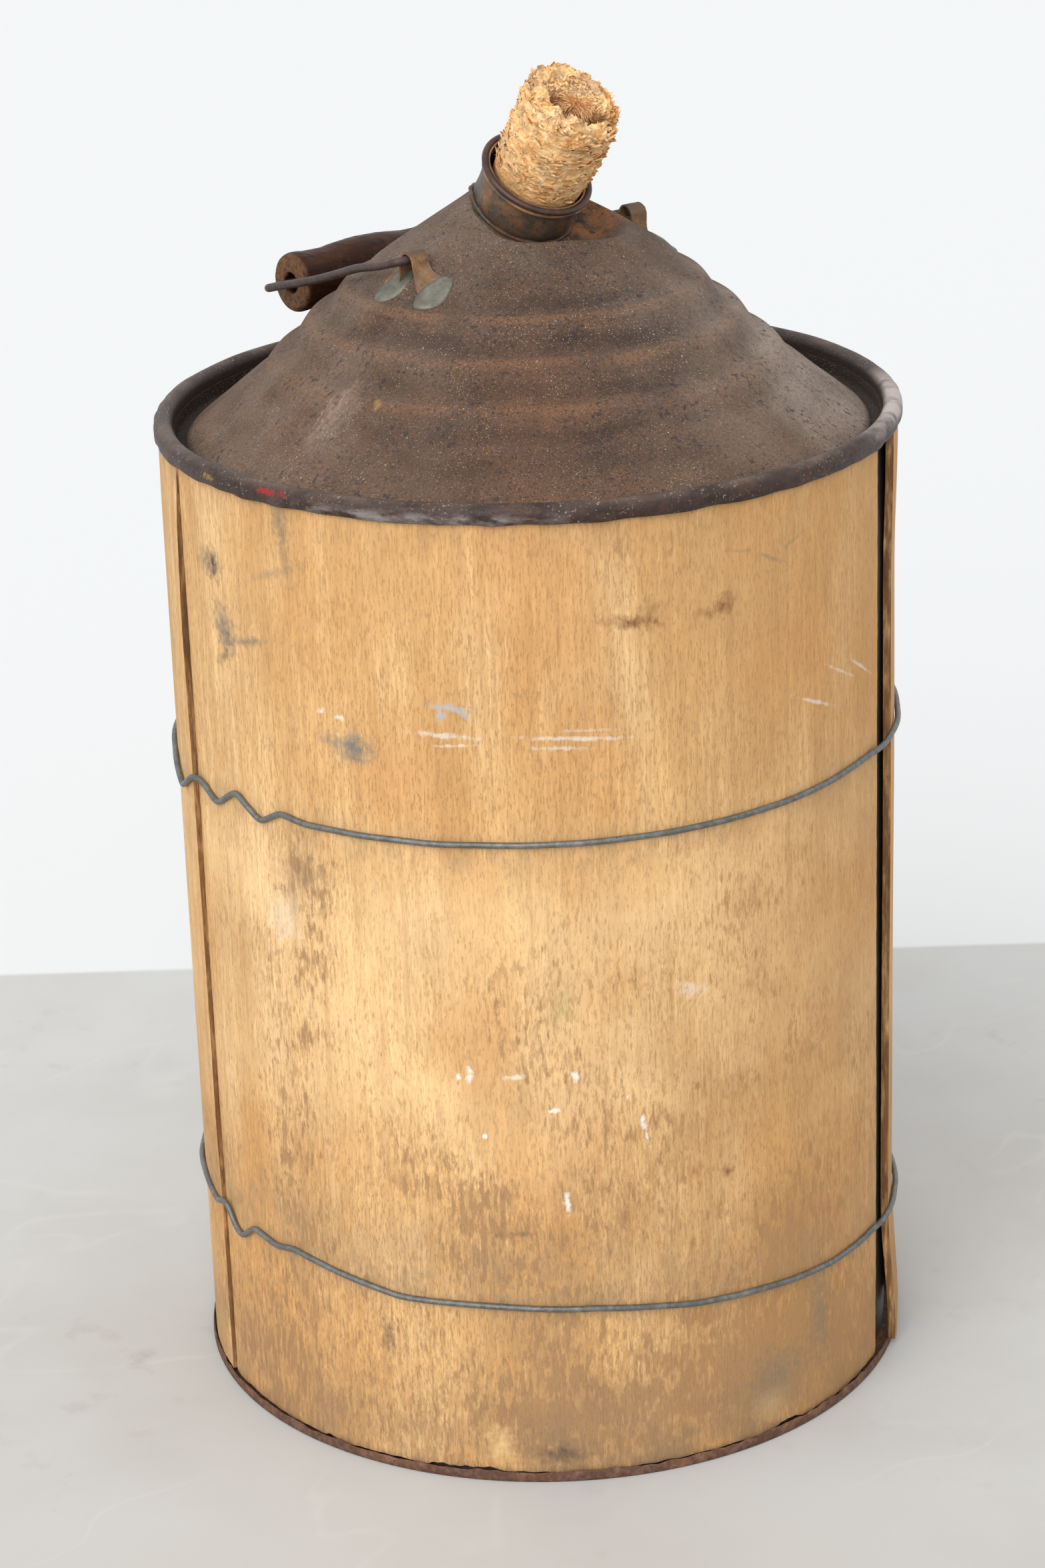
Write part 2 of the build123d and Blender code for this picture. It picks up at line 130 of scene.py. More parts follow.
# ---------------------------------------------------------------- meshes
class Build:
    """Points and faces gathered for one piece."""

    def __init__(self):
        self.points, self.faces, self.skins, self.count = [], [], [], 0

    def add(self, points):
        """Adds points and returns their numbers in the same arrangement."""
        points = np.asarray(points, float)
        numbers = self.count + np.arange(points[..., 0].size).reshape(points.shape[:-1])
        self.points.append(points.reshape(-1, 3))
        self.count += numbers.size
        return numbers

    def face(self, corners, skin=0):
        """Adds rows of corner numbers as faces of one skin."""
        self.faces += corners.tolist()
        self.skins += [skin] * len(corners)

    def quads(self, numbers, wrap_rows=False, wrap_columns=False, skin=0):
        """Faces over a grid of point numbers."""
        if wrap_rows:
            numbers = np.vstack([numbers, numbers[:1]])
        if wrap_columns:
            numbers = np.hstack([numbers, numbers[:, :1]])
        corners = [numbers[:-1, :-1], numbers[:-1, 1:], numbers[1:, 1:], numbers[1:, :-1]]
        self.face(np.stack(corners, -1).reshape(-1, 4), skin)

    def cap(self, ring, tip, skin=0):
        """Closes a ring of point numbers with a fan to one more point."""
        tip = np.full(len(ring), self.add(np.asarray(tip, float)[None])[0])
        self.face(np.stack([ring, np.roll(ring, -1), tip], -1), skin)

    def slab(self, outer, inner, wrap=False, skin=0, edge=0):
        """A closed sheet between two grids of one shape."""
        one, other = self.add(outer), self.add(inner)
        for numbers in (one, other):
            self.quads(numbers, wrap_columns=wrap, skin=skin)
        for row in (0, -1):
            self.quads(np.stack([one[row], other[row]]), wrap_columns=wrap, skin=edge)
        if not wrap:
            for column in (0, -1):
                self.quads(np.stack([one[:, column], other[:, column]]), skin=edge)

    def rod(self, path, radius, side, sides=14, closed=False):
        """A round rod along a path. side is a direction that is never along the path."""
        path = np.asarray(path, float)
        ahead = np.roll(path, -1, 0) - np.roll(path, 1, 0) if closed else np.gradient(path, axis=0)
        ahead = unit(ahead)
        side = np.broadcast_to(np.asarray(side, float), path.shape)
        side = unit(side - (side * ahead).sum(-1, keepdims=True) * ahead)
        other = np.cross(ahead, side)
        turn = np.arange(sides) * 2 * math.pi / sides
        radius = np.broadcast_to(radius, len(path))[:, None, None]
        ring = np.cos(turn)[None, :, None] * side[:, None] + np.sin(turn)[None, :, None] * other[:, None]
        numbers = self.add(path[:, None] + radius * ring)
        self.quads(numbers, wrap_rows=closed, wrap_columns=True)
        if not closed:
            self.cap(numbers[0], path[0] - ahead[0] * radius[0, 0, 0] * 0.3)
            self.cap(numbers[-1], path[-1] + ahead[-1] * radius[-1, 0, 0] * 0.3)

    def scales(self, points):
        """Many small closed sheets at once: points by sheet, face, row and column."""
        n = self.add(points)
        for face in (n[:, 0], n[:, 1]):
            corners = [face[:, :-1, :-1], face[:, :-1, 1:], face[:, 1:, 1:], face[:, 1:, :-1]]
            self.face(np.stack(corners, -1).reshape(-1, 4))
        for edge in (n[:, :, 0], n[:, :, -1], n[:, :, :, 0], n[:, :, :, -1]):
            corners = [edge[:, 0, :-1], edge[:, 0, 1:], edge[:, 1, 1:], edge[:, 1, :-1]]
            self.face(np.stack(corners, -1).reshape(-1, 4))

    def thorns(self, root, tip, radius, skin=0):
        """Many tapered fibres at once, each with three sides."""
        along = unit(tip - root)
        side = unit(np.cross(along, (0.31, 0.52, 0.79)))
        other = np.cross(along, side)
        ring = [root + radius * (math.cos(t) * side + math.sin(t) * other) for t in (0, 2.094, 4.189)]
        n = self.add(np.stack(ring + [tip], 1))
        self.face(np.stack([n[:, 0], n[:, 1], n[:, 2]], -1), skin)
        for one, other in ((0, 1), (1, 2), (2, 0)):
            self.face(np.stack([n[:, one], n[:, other], n[:, 3]], -1), skin)

    def piece(self, name, body, slot, materials, replaces, crease=38.0):
        """Makes the object, rides it on its body and stands it in for its CAD nodes."""
        mesh = bpy.data.meshes.new(name)
        mesh.from_pydata((np.concatenate(self.points) * MM).tolist(), [], self.faces)
        mesh.polygons.foreach_set("material_index", self.skins)
        tidy = bmesh.new()
        tidy.from_mesh(mesh)
        bmesh.ops.recalc_face_normals(tidy, faces=tidy.faces)
        tidy.to_mesh(mesh)
        tidy.free()
        mesh.shade_smooth()
        mesh.set_sharp_from_angle(angle=math.radians(crease))
        for material in materials:
            mesh.materials.append(material)
        made = bpy.data.objects.new(name, mesh)
        bpy.context.scene.collection.objects.link(made)
        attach(made, body)
        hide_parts(*replaces)
        return made


# ---------------------------------------------------------------- materials
class Paint:
    """A finish built up in layers over one colour, placed by the row frame's own coordinates."""

    def __init__(self, name, colour, roughness=0.75, metallic=0.0, specular=0.5):
        self.material = bpy.data.materials.new(name)
        self.material.use_nodes = True
        self.tree = self.material.node_tree
        self.shader = self.tree.nodes["Principled BSDF"]
        self.place = self.node("ShaderNodeTexCoord").outputs["Object"]
        self.shader.inputs["Base Color"].default_value = (*colour, 1)
        self.shader.inputs["Roughness"].default_value = roughness
        self.shader.inputs["Metallic"].default_value = metallic
        self.shader.inputs["Specular IOR Level"].default_value = specular
        self.colour, self.roughness, self.height = (*colour, 1), roughness, None
        self.kept = {}

    def node(self, kind, inputs=(), **settings):
        """A node with settings, and inputs given as names or numbers with values or sockets."""
        made = self.tree.nodes.new(kind)
        for key, value in settings.items():
            setattr(made, key, value)
        for key, value in dict(inputs).items():
            if isinstance(value, bpy.types.NodeSocket):
                self.tree.links.new(value, made.inputs[key])
            else:
                made.inputs[key].default_value = value
        return made

    def maths(self, operation, one, other=0.0):
        """One sum on masks or numbers."""
        return self.node("ShaderNodeMath", {0: one, 1: other}, operation=operation).outputs[0]

    def span(self, value, low, high, start=0.0, end=1.0):
        """A value stretched from low and high to start and end, and held there."""
        given = {"Value": value, "From Min": low, "From Max": high, "To Min": start, "To Max": end}
        return self.node("ShaderNodeMapRange", given).outputs["Result"]

    def grain(self, size, low=0.4, high=0.6, stretch=(1, 1, 1), detail=4.0, rough=0.55, warp=0.0):
        """A noise mask with features of this size in millimetres, longer where it is stretched."""
        key = (size, low, high, stretch, detail, rough, warp)
        if key in self.kept:
            return self.kept[key]
        scale = [1 / amount for amount in stretch]
        place = self.node("ShaderNodeMapping", {"Vector": self.place, "Scale": scale}).outputs[0]
        given = {"Vector": place, "Scale": 1 / (size * MM), "Detail": detail, "Roughness": rough,
                 "Distortion": warp}
        noise = self.node("ShaderNodeTexNoise", given).outputs["Fac"]
        self.kept[key] = self.span(noise, low, high)
        return self.kept[key]

    def axis(self, number):
        """X, Y or Z of the place, in millimetres."""
        parts = self.node("ShaderNodeSeparateXYZ", {"Vector": self.place})
        return self.maths("MULTIPLY", parts.outputs[number], 1 / MM)

    def radius(self):
        """Distance from Z, in millimetres."""
        flat = self.node("ShaderNodeVectorMath", {0: self.place, 1: (1, 1, 0)}, operation="MULTIPLY")
        length = self.node("ShaderNodeVectorMath", {0: flat.outputs[0]}, operation="LENGTH")
        return self.maths("MULTIPLY", length.outputs["Value"], 1 / MM)

    def facing(self, degrees):
        """-1 to 1: how far the place lies towards this angle about Z."""
        flat = self.node("ShaderNodeVectorMath", {0: self.place, 1: (1, 1, 0)}, operation="MULTIPLY")
        along = self.node("ShaderNodeVectorMath", {0: flat.outputs[0]}, operation="NORMALIZE")
        heading = (math.cos(math.radians(degrees)), math.sin(math.radians(degrees)), 0)
        given = {0: along.outputs[0], 1: heading}
        return self.node("ShaderNodeVectorMath", given, operation="DOT_PRODUCT").outputs["Value"]

    def spot(self, centre, size, turn=(0, 0, 0), soft=0.6, ragged=0.5, grit=3.0):
        """A mask of one patch: its centre and half sizes in millimetres, with a ragged edge."""
        given = {"Vector": self.place, "Location": [c * MM for c in centre],
                 "Rotation": [math.radians(t) for t in turn], "Scale": [s * MM for s in size]}
        local = self.node("ShaderNodeMapping", given, vector_type="TEXTURE").outputs[0]
        length = self.node("ShaderNodeVectorMath", {0: local}, operation="LENGTH").outputs["Value"]
        torn = self.maths("MULTIPLY", self.grain(grit, 0.3, 0.7), ragged * 2)
        length = self.maths("ADD", length, torn)
        return self.span(length, 1.0 + ragged - soft, 1.0 + ragged + soft / 2, 1.0, 0.0)

    def neck_station(self):
        """Distance along the neck's axis from its foot, in millimetres."""
        given = {0: self.place, 1: tuple(NECK_FOOT * MM)}
        from_foot = self.node("ShaderNodeVectorMath", given, operation="SUBTRACT").outputs[0]
        given = {0: from_foot, 1: tuple(UP_NECK / MM)}
        return self.node("ShaderNodeVectorMath", given, operation="DOT_PRODUCT").outputs["Value"]

    def both(self, *masks):
        """Masks multiplied together."""
        total = masks[0]
        for mask in masks[1:]:
            total = self.maths("MULTIPLY", total, mask)
        return total

    def lay(self, colour, *masks):
        """Lays a colour over what is there, through masks multiplied together."""
        given = {"Fac": self.both(*masks), "Color1": self.colour, "Color2": (*colour, 1)}
        self.colour = self.node("ShaderNodeMixRGB", given).outputs["Color"]

    def gloss(self, roughness, mask):
        """Changes the roughness through a mask."""
        self.roughness = self.maths("ADD", self.both(mask, roughness),
                                    self.both(self.maths("SUBTRACT", 1.0, mask), self.roughness))

    def emboss(self, mask, depth):
        """Raises the surface by a depth in millimetres where the mask is 1."""
        layer = self.maths("MULTIPLY", mask, depth)
        self.height = layer if self.height is None else self.maths("ADD", self.height, layer)

    def done(self):
        """Joins the layers to the shader and gives the material."""
        if isinstance(self.colour, bpy.types.NodeSocket):
            self.tree.links.new(self.colour, self.shader.inputs["Base Color"])
        if isinstance(self.roughness, bpy.types.NodeSocket):
            self.tree.links.new(self.roughness, self.shader.inputs["Roughness"])
        if self.height is not None:
            bump = self.node("ShaderNodeBump", {"Height": self.height, "Distance": MM, "Strength": 1.0})
            self.tree.links.new(bump.outputs["Normal"], self.shader.inputs["Normal"])
        return self.material


def iron(name, colour, rust, dust, rusted=0.5, dusted=0.3, roughness=0.7, metallic=0.2, pits=0.12,
         specular=0.4):
    """Oxidised iron: mottled, with rust in patches, pits and a film of dust."""
    paint = Paint(name, colour, roughness, metallic, specular)
    paint.lay([c * 0.62 for c in colour], paint.grain(14, 0.38, 0.68, detail=8, rough=0.65), 0.85)
    paint.lay(rust, paint.grain(9, 0.48, 0.66, detail=8, rough=0.65), rusted)
    paint.lay(dust, paint.grain(2.2, 0.45, 0.7, detail=5), dusted)
    speck = paint.grain(1.1, 0.6, 0.68, detail=3)
    paint.lay([c * 0.35 for c in colour], speck, 0.7)
    paint.emboss(paint.grain(1.6, 0.35, 0.65, detail=5), pits)
    paint.emboss(speck, -pits * 0.6)
    paint.emboss(paint.grain(12, 0.3, 0.7), pits * 1.5)
    return paint


def breast_iron():
    """Matte brown rust, dark with painted shade along the steps and a painted highlight on their crests,
    under grit, and dust with a painted sheen on the flanks.
    """
    paint = iron("breast_iron", (0.098, 0.061, 0.043), (0.160, 0.076, 0.036), (0.16, 0.110, 0.078),
                 rusted=0.50, dusted=0.20, roughness=0.85, metallic=0.0, pits=0.10, specular=0.2)
    radius = paint.radius()
    wander = paint.maths("MULTIPLY", paint.grain(45, 0.2, 0.8, detail=3), 4.0)
    wandered = paint.maths("ADD", radius, paint.maths("SUBTRACT", wander, 2.0))
    phase = paint.maths("DIVIDE", wandered, STEP_PITCH)
    wave = paint.maths("SINE", paint.maths("MULTIPLY", phase, 2 * math.pi))
    stepped = paint.both(paint.span(radius, 54, 64), paint.span(radius, 108, 100))
    patchy = paint.grain(28, 0.34, 0.58, detail=6)
    # painted shade in the valleys between the steps, and a painted orange highlight on their crests
    paint.lay((0.028, 0.018, 0.014), paint.span(wave, 0.10, 0.85), stepped, patchy, 0.85)
    paint.lay((0.210, 0.105, 0.055), paint.span(wave, -0.50, -0.95), stepped,
              paint.grain(20, 0.32, 0.54), 0.62)
    foot = paint.both(paint.span(radius, 103, 109), paint.span(radius, 118, 112))
    paint.lay((0.040, 0.026, 0.021), foot, paint.grain(22, 0.32, 0.56), 0.62)
    wash = paint.both(paint.span(radius, 62, 95), paint.grain(40, 0.36, 0.62, detail=5), 0.5)
    paint.lay((0.172, 0.080, 0.040), wash)
    rusty_skirt = paint.both(paint.span(radius, 112, 120), paint.grain(16, 0.38, 0.62), 0.5)
    paint.lay((0.190, 0.104, 0.062), rusty_skirt)
    grit = paint.grain(0.9, 0.45, 0.66, detail=3)
    paint.lay((0.190, 0.128, 0.090), grit, paint.grain(34, 0.36, 0.66, detail=5), 0.34)
    paint.lay((0.026, 0.018, 0.018), paint.grain(1.0, 0.56, 0.64, detail=3), 0.65)
    # partly pale dust, partly a painted sheen: lighter towards the angles 326, 316 and 160 about Z
    dust_and_sheen = paint.both(paint.span(paint.facing(326), 0.20, 0.95), paint.grain(30, 0.25, 0.6, detail=6))
    paint.lay((0.255, 0.195, 0.155), dust_and_sheen, paint.span(radius, 30, 75), 0.66)
    dust_and_sheen = paint.both(paint.span(paint.facing(316), 0.86, 1.0), paint.grain(30, 0.2, 0.55, detail=6))
    paint.lay((0.36, 0.29, 0.24), dust_and_sheen, paint.span(radius, 50, 90), 0.55)
    dust_and_sheen = paint.both(paint.span(paint.facing(160), 0.50, 1.0), paint.grain(26, 0.3, 0.6, detail=6))
    paint.lay((0.205, 0.148, 0.112), dust_and_sheen, 0.55)
    paint.lay((0.070, 0.048, 0.040), paint.grain(1.3, 0.50, 0.62, detail=4, rough=0.7), 0.50)
    top = paint.both(paint.span(paint.axis(2), 438, 452), paint.grain(15, 0.4, 0.62))
    paint.lay((0.165, 0.128, 0.100), top, 0.40)
    # painted shadow: the breast's outer edge and the moat under the hoop darkened
    moat = paint.span(radius, 126.2, 128.6)
    paint.lay((0.018, 0.012, 0.010), moat, 0.92)
    # painted shade: the recess floor darkened near the neck's foot, with orange rust laid over it
    recess_floor = paint.spot((12, -14, 450), (30, 24, 10), soft=0.5, ragged=0.3, grit=6)
    low = paint.both(recess_floor, paint.span(paint.neck_station(), 9.0, 4.0))
    paint.lay((0.040, 0.026, 0.020), low, 0.65)
    paint.lay((0.30, 0.122, 0.046), low, paint.grain(11, 0.42, 0.58, detail=6), 0.80)
    rub = paint.spot((-97.5, -8.0, 400.4), (9.5, 3.4, 12), (0, 41, -14), soft=0.8, ragged=0.7, grit=2.0)
    paint.lay((0.36, 0.235, 0.165), rub, paint.grain(1.2, 0.4, 0.6, stretch=(6, 1, 6)), 0.7)
    spill = paint.spot((-100.0, -12.0, 398.0), (10, 5.0, 12), (0, 41, -14), soft=0.9, ragged=0.9, grit=3.0)
    paint.lay((0.25, 0.185, 0.14), spill, 0.45)
    yellow = paint.spot((-89.8, -26.0, 403.9), (2.2, 1.8, 2.2), soft=0.7, ragged=0.5)
    paint.lay((0.36, 0.215, 0.055), yellow, 0.8)
    bare = paint.both(paint.grain(0.6, 0.70, 0.72, detail=1), paint.grain(18, 0.42, 0.6))
    paint.lay((0.55, 0.50, 0.46), bare, 0.85)
    paint.lay((0.40, 0.36, 0.32), paint.grain(0.45, 0.69, 0.71, detail=1), 0.7)
    blue = paint.both(paint.grain(2.4, 0.59, 0.65, detail=3), paint.grain(25, 0.40, 0.55), 0.75)
    paint.lay((0.036, 0.031, 0.036), blue)
    paint.emboss(grit, 0.05)
    return paint.done()


def top_hoop_iron():
    """Dark brown hoop, worn to bright metal along the front, with a painted highlight there and a painted
    reflection on its edge towards angle 312, and old paint on it.
    """
    paint = iron("top_hoop_iron", (0.050, 0.029, 0.023), (0.125, 0.056, 0.030), (0.14, 0.100, 0.08),
                 rusted=0.4, dusted=0.2, roughness=0.5, metallic=0.2, pits=0.08, specular=0.35)
    # partly wear, partly a painted highlight: the front edge lightened where it faces the light
    front = paint.span(paint.facing(214), 0.90, 0.99)
    edge = paint.both(paint.span(paint.radius(), 139.0, 140.0), paint.span(paint.axis(2), 381.8, 379.4))
    worn = paint.both(front, edge, paint.grain(5, 0.44, 0.58, stretch=(3, 3, 1), detail=6))
    paint.lay((0.34, 0.30, 0.29), worn, 0.65)
    paint.gloss(0.40, paint.both(worn, 0.8))
    crown = paint.both(paint.span(paint.axis(2), 382.0, 383.8), paint.grain(8, 0.40, 0.62, stretch=(3, 3, 1)))
    paint.lay((0.155, 0.105, 0.078), crown, 0.65)
    chips = paint.both(paint.grain(1.0, 0.62, 0.68, detail=2), paint.grain(14, 0.42, 0.6))
    paint.lay((0.40, 0.36, 0.34), chips, 0.65)
    sooty = paint.grain(5, 0.52, 0.66, stretch=(2, 2, 1), detail=5)
    paint.lay((0.022, 0.014, 0.012), sooty, 0.55)
    # partly bare metal, partly a painted reflection on the edge towards angle 312
    bright = paint.both(paint.span(paint.facing(312), 0.93, 0.995), paint.span(paint.axis(2), 379.5, 382.0))
    paint.lay((0.55, 0.47, 0.44), bright, paint.grain(9, 0.30, 0.55, detail=6), 0.8)
    # painted shade on the hoop's inner side, down into the moat
    inner = paint.span(paint.radius(), 134.6, 133.0)
    paint.lay((0.030, 0.020, 0.016), inner, 0.8)
    for degrees, width in ((189.3, 4.5), (191.8, 2.5)):
        centre = cylinder_point(139.9, degrees, 381.6)
        red = paint.spot(centre, (3, width, 1.0), (0, 0, degrees), soft=0.6, ragged=0.9, grit=1.5)
        paint.lay((0.36, 0.018, 0.022), red, 0.75)
    centre = cylinder_point(139.9, 175.5, 380.5)
    yellow = paint.spot(centre, (3, 3.5, 1.2), (0, 0, 175.5), ragged=0.9, grit=1.5)
    paint.lay((0.36, 0.22, 0.05), yellow, 0.6)
    return paint.done()


def bottom_hoop_iron():
    """Red-brown rust."""
    return iron("bottom_hoop_iron", (0.125, 0.056, 0.034), (0.26, 0.115, 0.055), (0.32, 0.24, 0.17),
                rusted=0.6, dusted=0.3, roughness=0.8, metallic=0.1, pits=0.16).done()


def neck_iron():
    """Dark brown neck with orange rust and a little green, bright along its folds."""
    paint = iron("neck_iron", (0.105, 0.074, 0.053), (0.34, 0.150, 0.062), (0.24, 0.18, 0.13),
                 rusted=0.62, dusted=0.25, roughness=0.5, metallic=0.2, pits=0.06)
    green = paint.both(paint.grain(7, 0.54, 0.66, detail=5), paint.span(paint.neck_station(), 13, 10))
    paint.lay((0.085, 0.095, 0.068), green, 0.6)
    collar = paint.both(paint.span(paint.neck_station(), 12.6, 13.6), paint.grain(8, 0.40, 0.58, detail=6))
    paint.lay((0.40, 0.200, 0.095), collar, 0.7)
    # painted shade at the neck's foot, down in the recess
    foot = paint.span(paint.neck_station(), 5.0, 0.0)
    paint.lay((0.030, 0.022, 0.018), foot, 0.6)
    return paint.done()


def lip_iron():
    """Smooth dark iron, polished by handling."""
    return iron("lip_iron", (0.072, 0.043, 0.038), (0.17, 0.082, 0.050), (0.17, 0.13, 0.11),
                rusted=0.35, dusted=0.15, roughness=0.42, metallic=0.4, pits=0.03).done()


def ear_iron():
    """Orange rust over dark iron."""
    paint = iron("ear_iron", (0.200, 0.112, 0.060), (0.40, 0.195, 0.070), (0.30, 0.22, 0.15),
                 rusted=0.75, dusted=0.25, roughness=0.7, metallic=0.15, pits=0.06)
    dark = paint.span(paint.axis(2), 447.6, 449.2)
    paint.lay((0.085, 0.058, 0.045), dark, 0.8)
    return paint.done()


def solder_metal(name, colour):
    """Dull solder with a crust of dirt and rust in patches."""
    paint = Paint(name, colour, 0.45, 0.45)
    paint.lay([c * 0.7 for c in colour], paint.grain(4, 0.4, 0.62, detail=6))
    paint.lay((0.20, 0.145, 0.095), paint.grain(3, 0.55, 0.7, detail=6), 0.6)
    paint.gloss(0.7, paint.grain(5, 0.42, 0.6))
    paint.emboss(paint.grain(2.5, 0.3, 0.7), 0.12)
    return paint


def pad_solder():
    """Grey-green solder pads, flecked with pale dirt."""
    paint = solder_metal("pad_solder", (0.190, 0.188, 0.152))
    paint.lay((0.135, 0.134, 0.105), paint.grain(9, 0.45, 0.6), 0.6)
    paint.lay((0.34, 0.31, 0.25), paint.grain(0.7, 0.6, 0.68), 0.5)
    return paint.done()


def neck_solder_metal():
    """Solder hidden under rust and grime."""
    paint = solder_metal("neck_solder_metal", (0.085, 0.078, 0.062))
    paint.lay((0.13, 0.060, 0.030), paint.grain(5, 0.42, 0.58, detail=6))
    return paint.done()


def bail_iron():
    """Dark purple-brown wire."""
    return iron("bail_iron", (0.062, 0.038, 0.034), (0.110, 0.060, 0.040), (0.16, 0.12, 0.10),
                rusted=0.45, dusted=0.3, roughness=0.5, metallic=0.3, pits=0.04, specular=0.35).done()


def binding_iron():
    """Grey drawn wire with a brown film in patches."""
    return iron("binding_iron", (0.165, 0.172, 0.165), (0.120, 0.095, 0.072), (0.30, 0.30, 0.285),
                rusted=0.45, dusted=0.5, roughness=0.45, metallic=0.5, pits=0.04).done()


def tank_tinplate():
    """Dull grey tinplate, spotted with rust."""
    return iron("tank_tinplate", (0.17, 0.16, 0.145), (0.15, 0.075, 0.04), (0.22, 0.20, 0.17),
                rusted=0.4, dusted=0.35, roughness=0.5, metallic=0.5, pits=0.03).done()


def grip_wood():
    """Dark mahogany varnish, worn to paler wood on its chamfers and end grain."""
    paint = Paint("grip_wood", (0.022, 0.0075, 0.0040), 0.42, specular=0.12)
    broad = paint.grain(7, 0.40, 0.68, stretch=(10, 1, 1), detail=5)
    paint.lay((0.060, 0.021, 0.010), broad, 0.8)
    thin = paint.grain(1.2, 0.54, 0.68, stretch=(22, 1, 1), detail=4)
    paint.lay((0.009, 0.005, 0.004), thin, 0.6)
    paint.lay((0.085, 0.038, 0.019), paint.grain(9, 0.56, 0.68, detail=6), 0.45)
    distance = paint.maths("ABSOLUTE", paint.axis(0))
    worn = paint.both(paint.span(distance, 34.4, 36.0), paint.grain(2.5, 0.34, 0.6, detail=6))
    paint.lay((0.17, 0.085, 0.042), worn, 0.85)
    end = paint.span(distance, 36.3, 36.45)
    paint.lay((0.160, 0.082, 0.042), end, 0.85)
    paint.lay((0.060, 0.034, 0.022), end, paint.grain(1.6, 0.45, 0.62, detail=5), 0.8)
    paint.gloss(0.8, paint.both(paint.span(distance, 34.8, 36.2), 0.9))
    paint.emboss(paint.grain(1.4, 0.35, 0.65, stretch=(16, 1, 1)), 0.05)
    paint.emboss(paint.grain(5, 0.58, 0.66), -0.2)
    return paint.done()


def corn_cob():
    """Dry chaff: pale straw at the tips, orange-brown painted shade in the hollows, grey where it has
    weathered.
    """
    paint = Paint("corn_cob", (0.97, 0.620, 0.280), 0.85, specular=0.2)
    given = {0: paint.place, 1: tuple(NECK_FOOT * MM + COB_LEAN * MM * ACROSS)}
    from_foot = paint.node("ShaderNodeVectorMath", given, operation="SUBTRACT").outputs[0]
    given = {0: from_foot, 1: tuple(UP_NECK)}
    cross = paint.node("ShaderNodeVectorMath", given, operation="CROSS_PRODUCT").outputs[0]
    length = paint.node("ShaderNodeVectorMath", {0: cross}, operation="LENGTH").outputs["Value"]
    radius = paint.maths("MULTIPLY", length, 1 / MM)
    station = paint.neck_station()
    paint.lay((1.00, 0.76, 0.45), paint.grain(5, 0.42, 0.6, detail=4), 0.7)
    paint.lay((0.52, 0.39, 0.265), paint.grain(9, 0.52, 0.66, detail=6), 0.6)
    # painted shade: darker and browner deeper in towards the cob's axis, below its broken end
    deep = paint.both(paint.span(radius, 18.7, 17.2), paint.span(station, 52, 49))
    paint.lay((0.52, 0.240, 0.075), deep, 0.60)
    streak = paint.grain(1.3, 0.5, 0.66, detail=4)
    paint.lay((0.62, 0.31, 0.105), streak, 0.40)
    crack = paint.both(paint.span(radius, 14.5, 12.5), paint.span(station, 52.0, 46.5))
    paint.lay((0.14, 0.045, 0.015), crack, 0.9)
    comb = paint.both(paint.span(radius, 12.5, 11.0), paint.span(station, 44.0, 47.0))
    paint.lay((0.30, 0.120, 0.045), comb, paint.grain(0.8, 0.44, 0.56, detail=2), 0.85)
    back = paint.both(paint.span(station, 51, 53), paint.grain(6, 0.46, 0.6, detail=5), 0.55)
    paint.lay((0.44, 0.31, 0.20), back)
    paint.lay((0.25, 0.125, 0.055), paint.grain(4, 0.60, 0.7, detail=5), 0.5)
    paint.lay((0.16, 0.085, 0.045), paint.span(station, 17.0, 13.0), 0.85)
    paint.emboss(paint.grain(0.9, 0.3, 0.7, detail=4), 0.22)
    return paint.done()


def bare_wood(name, end_grain=False, marked=False):
    """Honey-coloured veneer with upright grain, brown-grey with dirt lower down."""
    paint = Paint(name, (0.88, 0.570, 0.265), 0.72, specular=0.3)
    brown = paint.grain(38, 0.38, 0.64, stretch=(1, 1, 5), detail=5)
    paint.lay((0.62, 0.335, 0.118), brown, 0.85)
    paint.lay((0.97, 0.680, 0.360), paint.grain(24, 0.46, 0.66, stretch=(1, 1, 6), detail=5), 0.8)
    orange = paint.grain(55, 0.46, 0.62, stretch=(1, 1, 2), detail=5)
    paint.lay((0.70, 0.330, 0.105), orange, 0.60)
    band = paint.grain(2.6, 0.38, 0.64, stretch=(1, 1, 24), detail=5, rough=0.65)
    paint.lay((0.52, 0.275, 0.100), band, 0.50)
    fine = paint.grain(1.1, 0.40, 0.62, stretch=(1, 1, 12), detail=4, rough=0.7)
    paint.lay((0.40, 0.205, 0.072), fine, 0.42)
    pores = paint.grain(0.6, 0.56, 0.64, stretch=(1, 1, 6), detail=2)
    paint.lay((0.30, 0.150, 0.056), pores, 0.48)
    if not end_grain:
        weather(paint, SMUDGES if marked else [])
        if marked:
            marks(paint)
    else:
        dirty = paint.grain(2.0, 0.26, 0.56, stretch=(1, 1, 9), detail=6)
        paint.lay((0.20, 0.088, 0.030), dirty, 0.95)
        paint.lay((0.12, 0.055, 0.024), paint.grain(4, 0.5, 0.64, stretch=(1, 1, 5)), 0.8)
    paint.emboss(fine, -0.06)
    paint.emboss(pores, -0.08)
    return paint.done()


def flecks(paint, size, cover, sharp=0.22):
    """Upright streaks that run together as their cover rises from 0 to 1."""
    streak = paint.grain(size, 0.30, 0.70, stretch=(1, 1, 4.2), detail=4, rough=0.62)
    return paint.span(paint.maths("ADD", streak, cover), 1.0, 1.0 + sharp)


# large dirty patches: angle about Z, height, half width, half height, added cover of flecks
SMUDGES = [
    (192.5, 240, 15, 13, 0.60), (192.6, 209, 8, 26, 0.50), (185.0, 165, 12, 34, 0.45),
    (186.0, 92, 16, 34, 0.45), (218.0, 112, 28, 20, 0.42), (250.0, 140, 24, 28, 0.38),
    (269.0, 90, 24, 24, 0.50), (264.0, 42, 30, 24, 0.70), (236.0, 25, 34, 13, 0.55),
    (250.0, 364, 22, 11, 0.40),
]


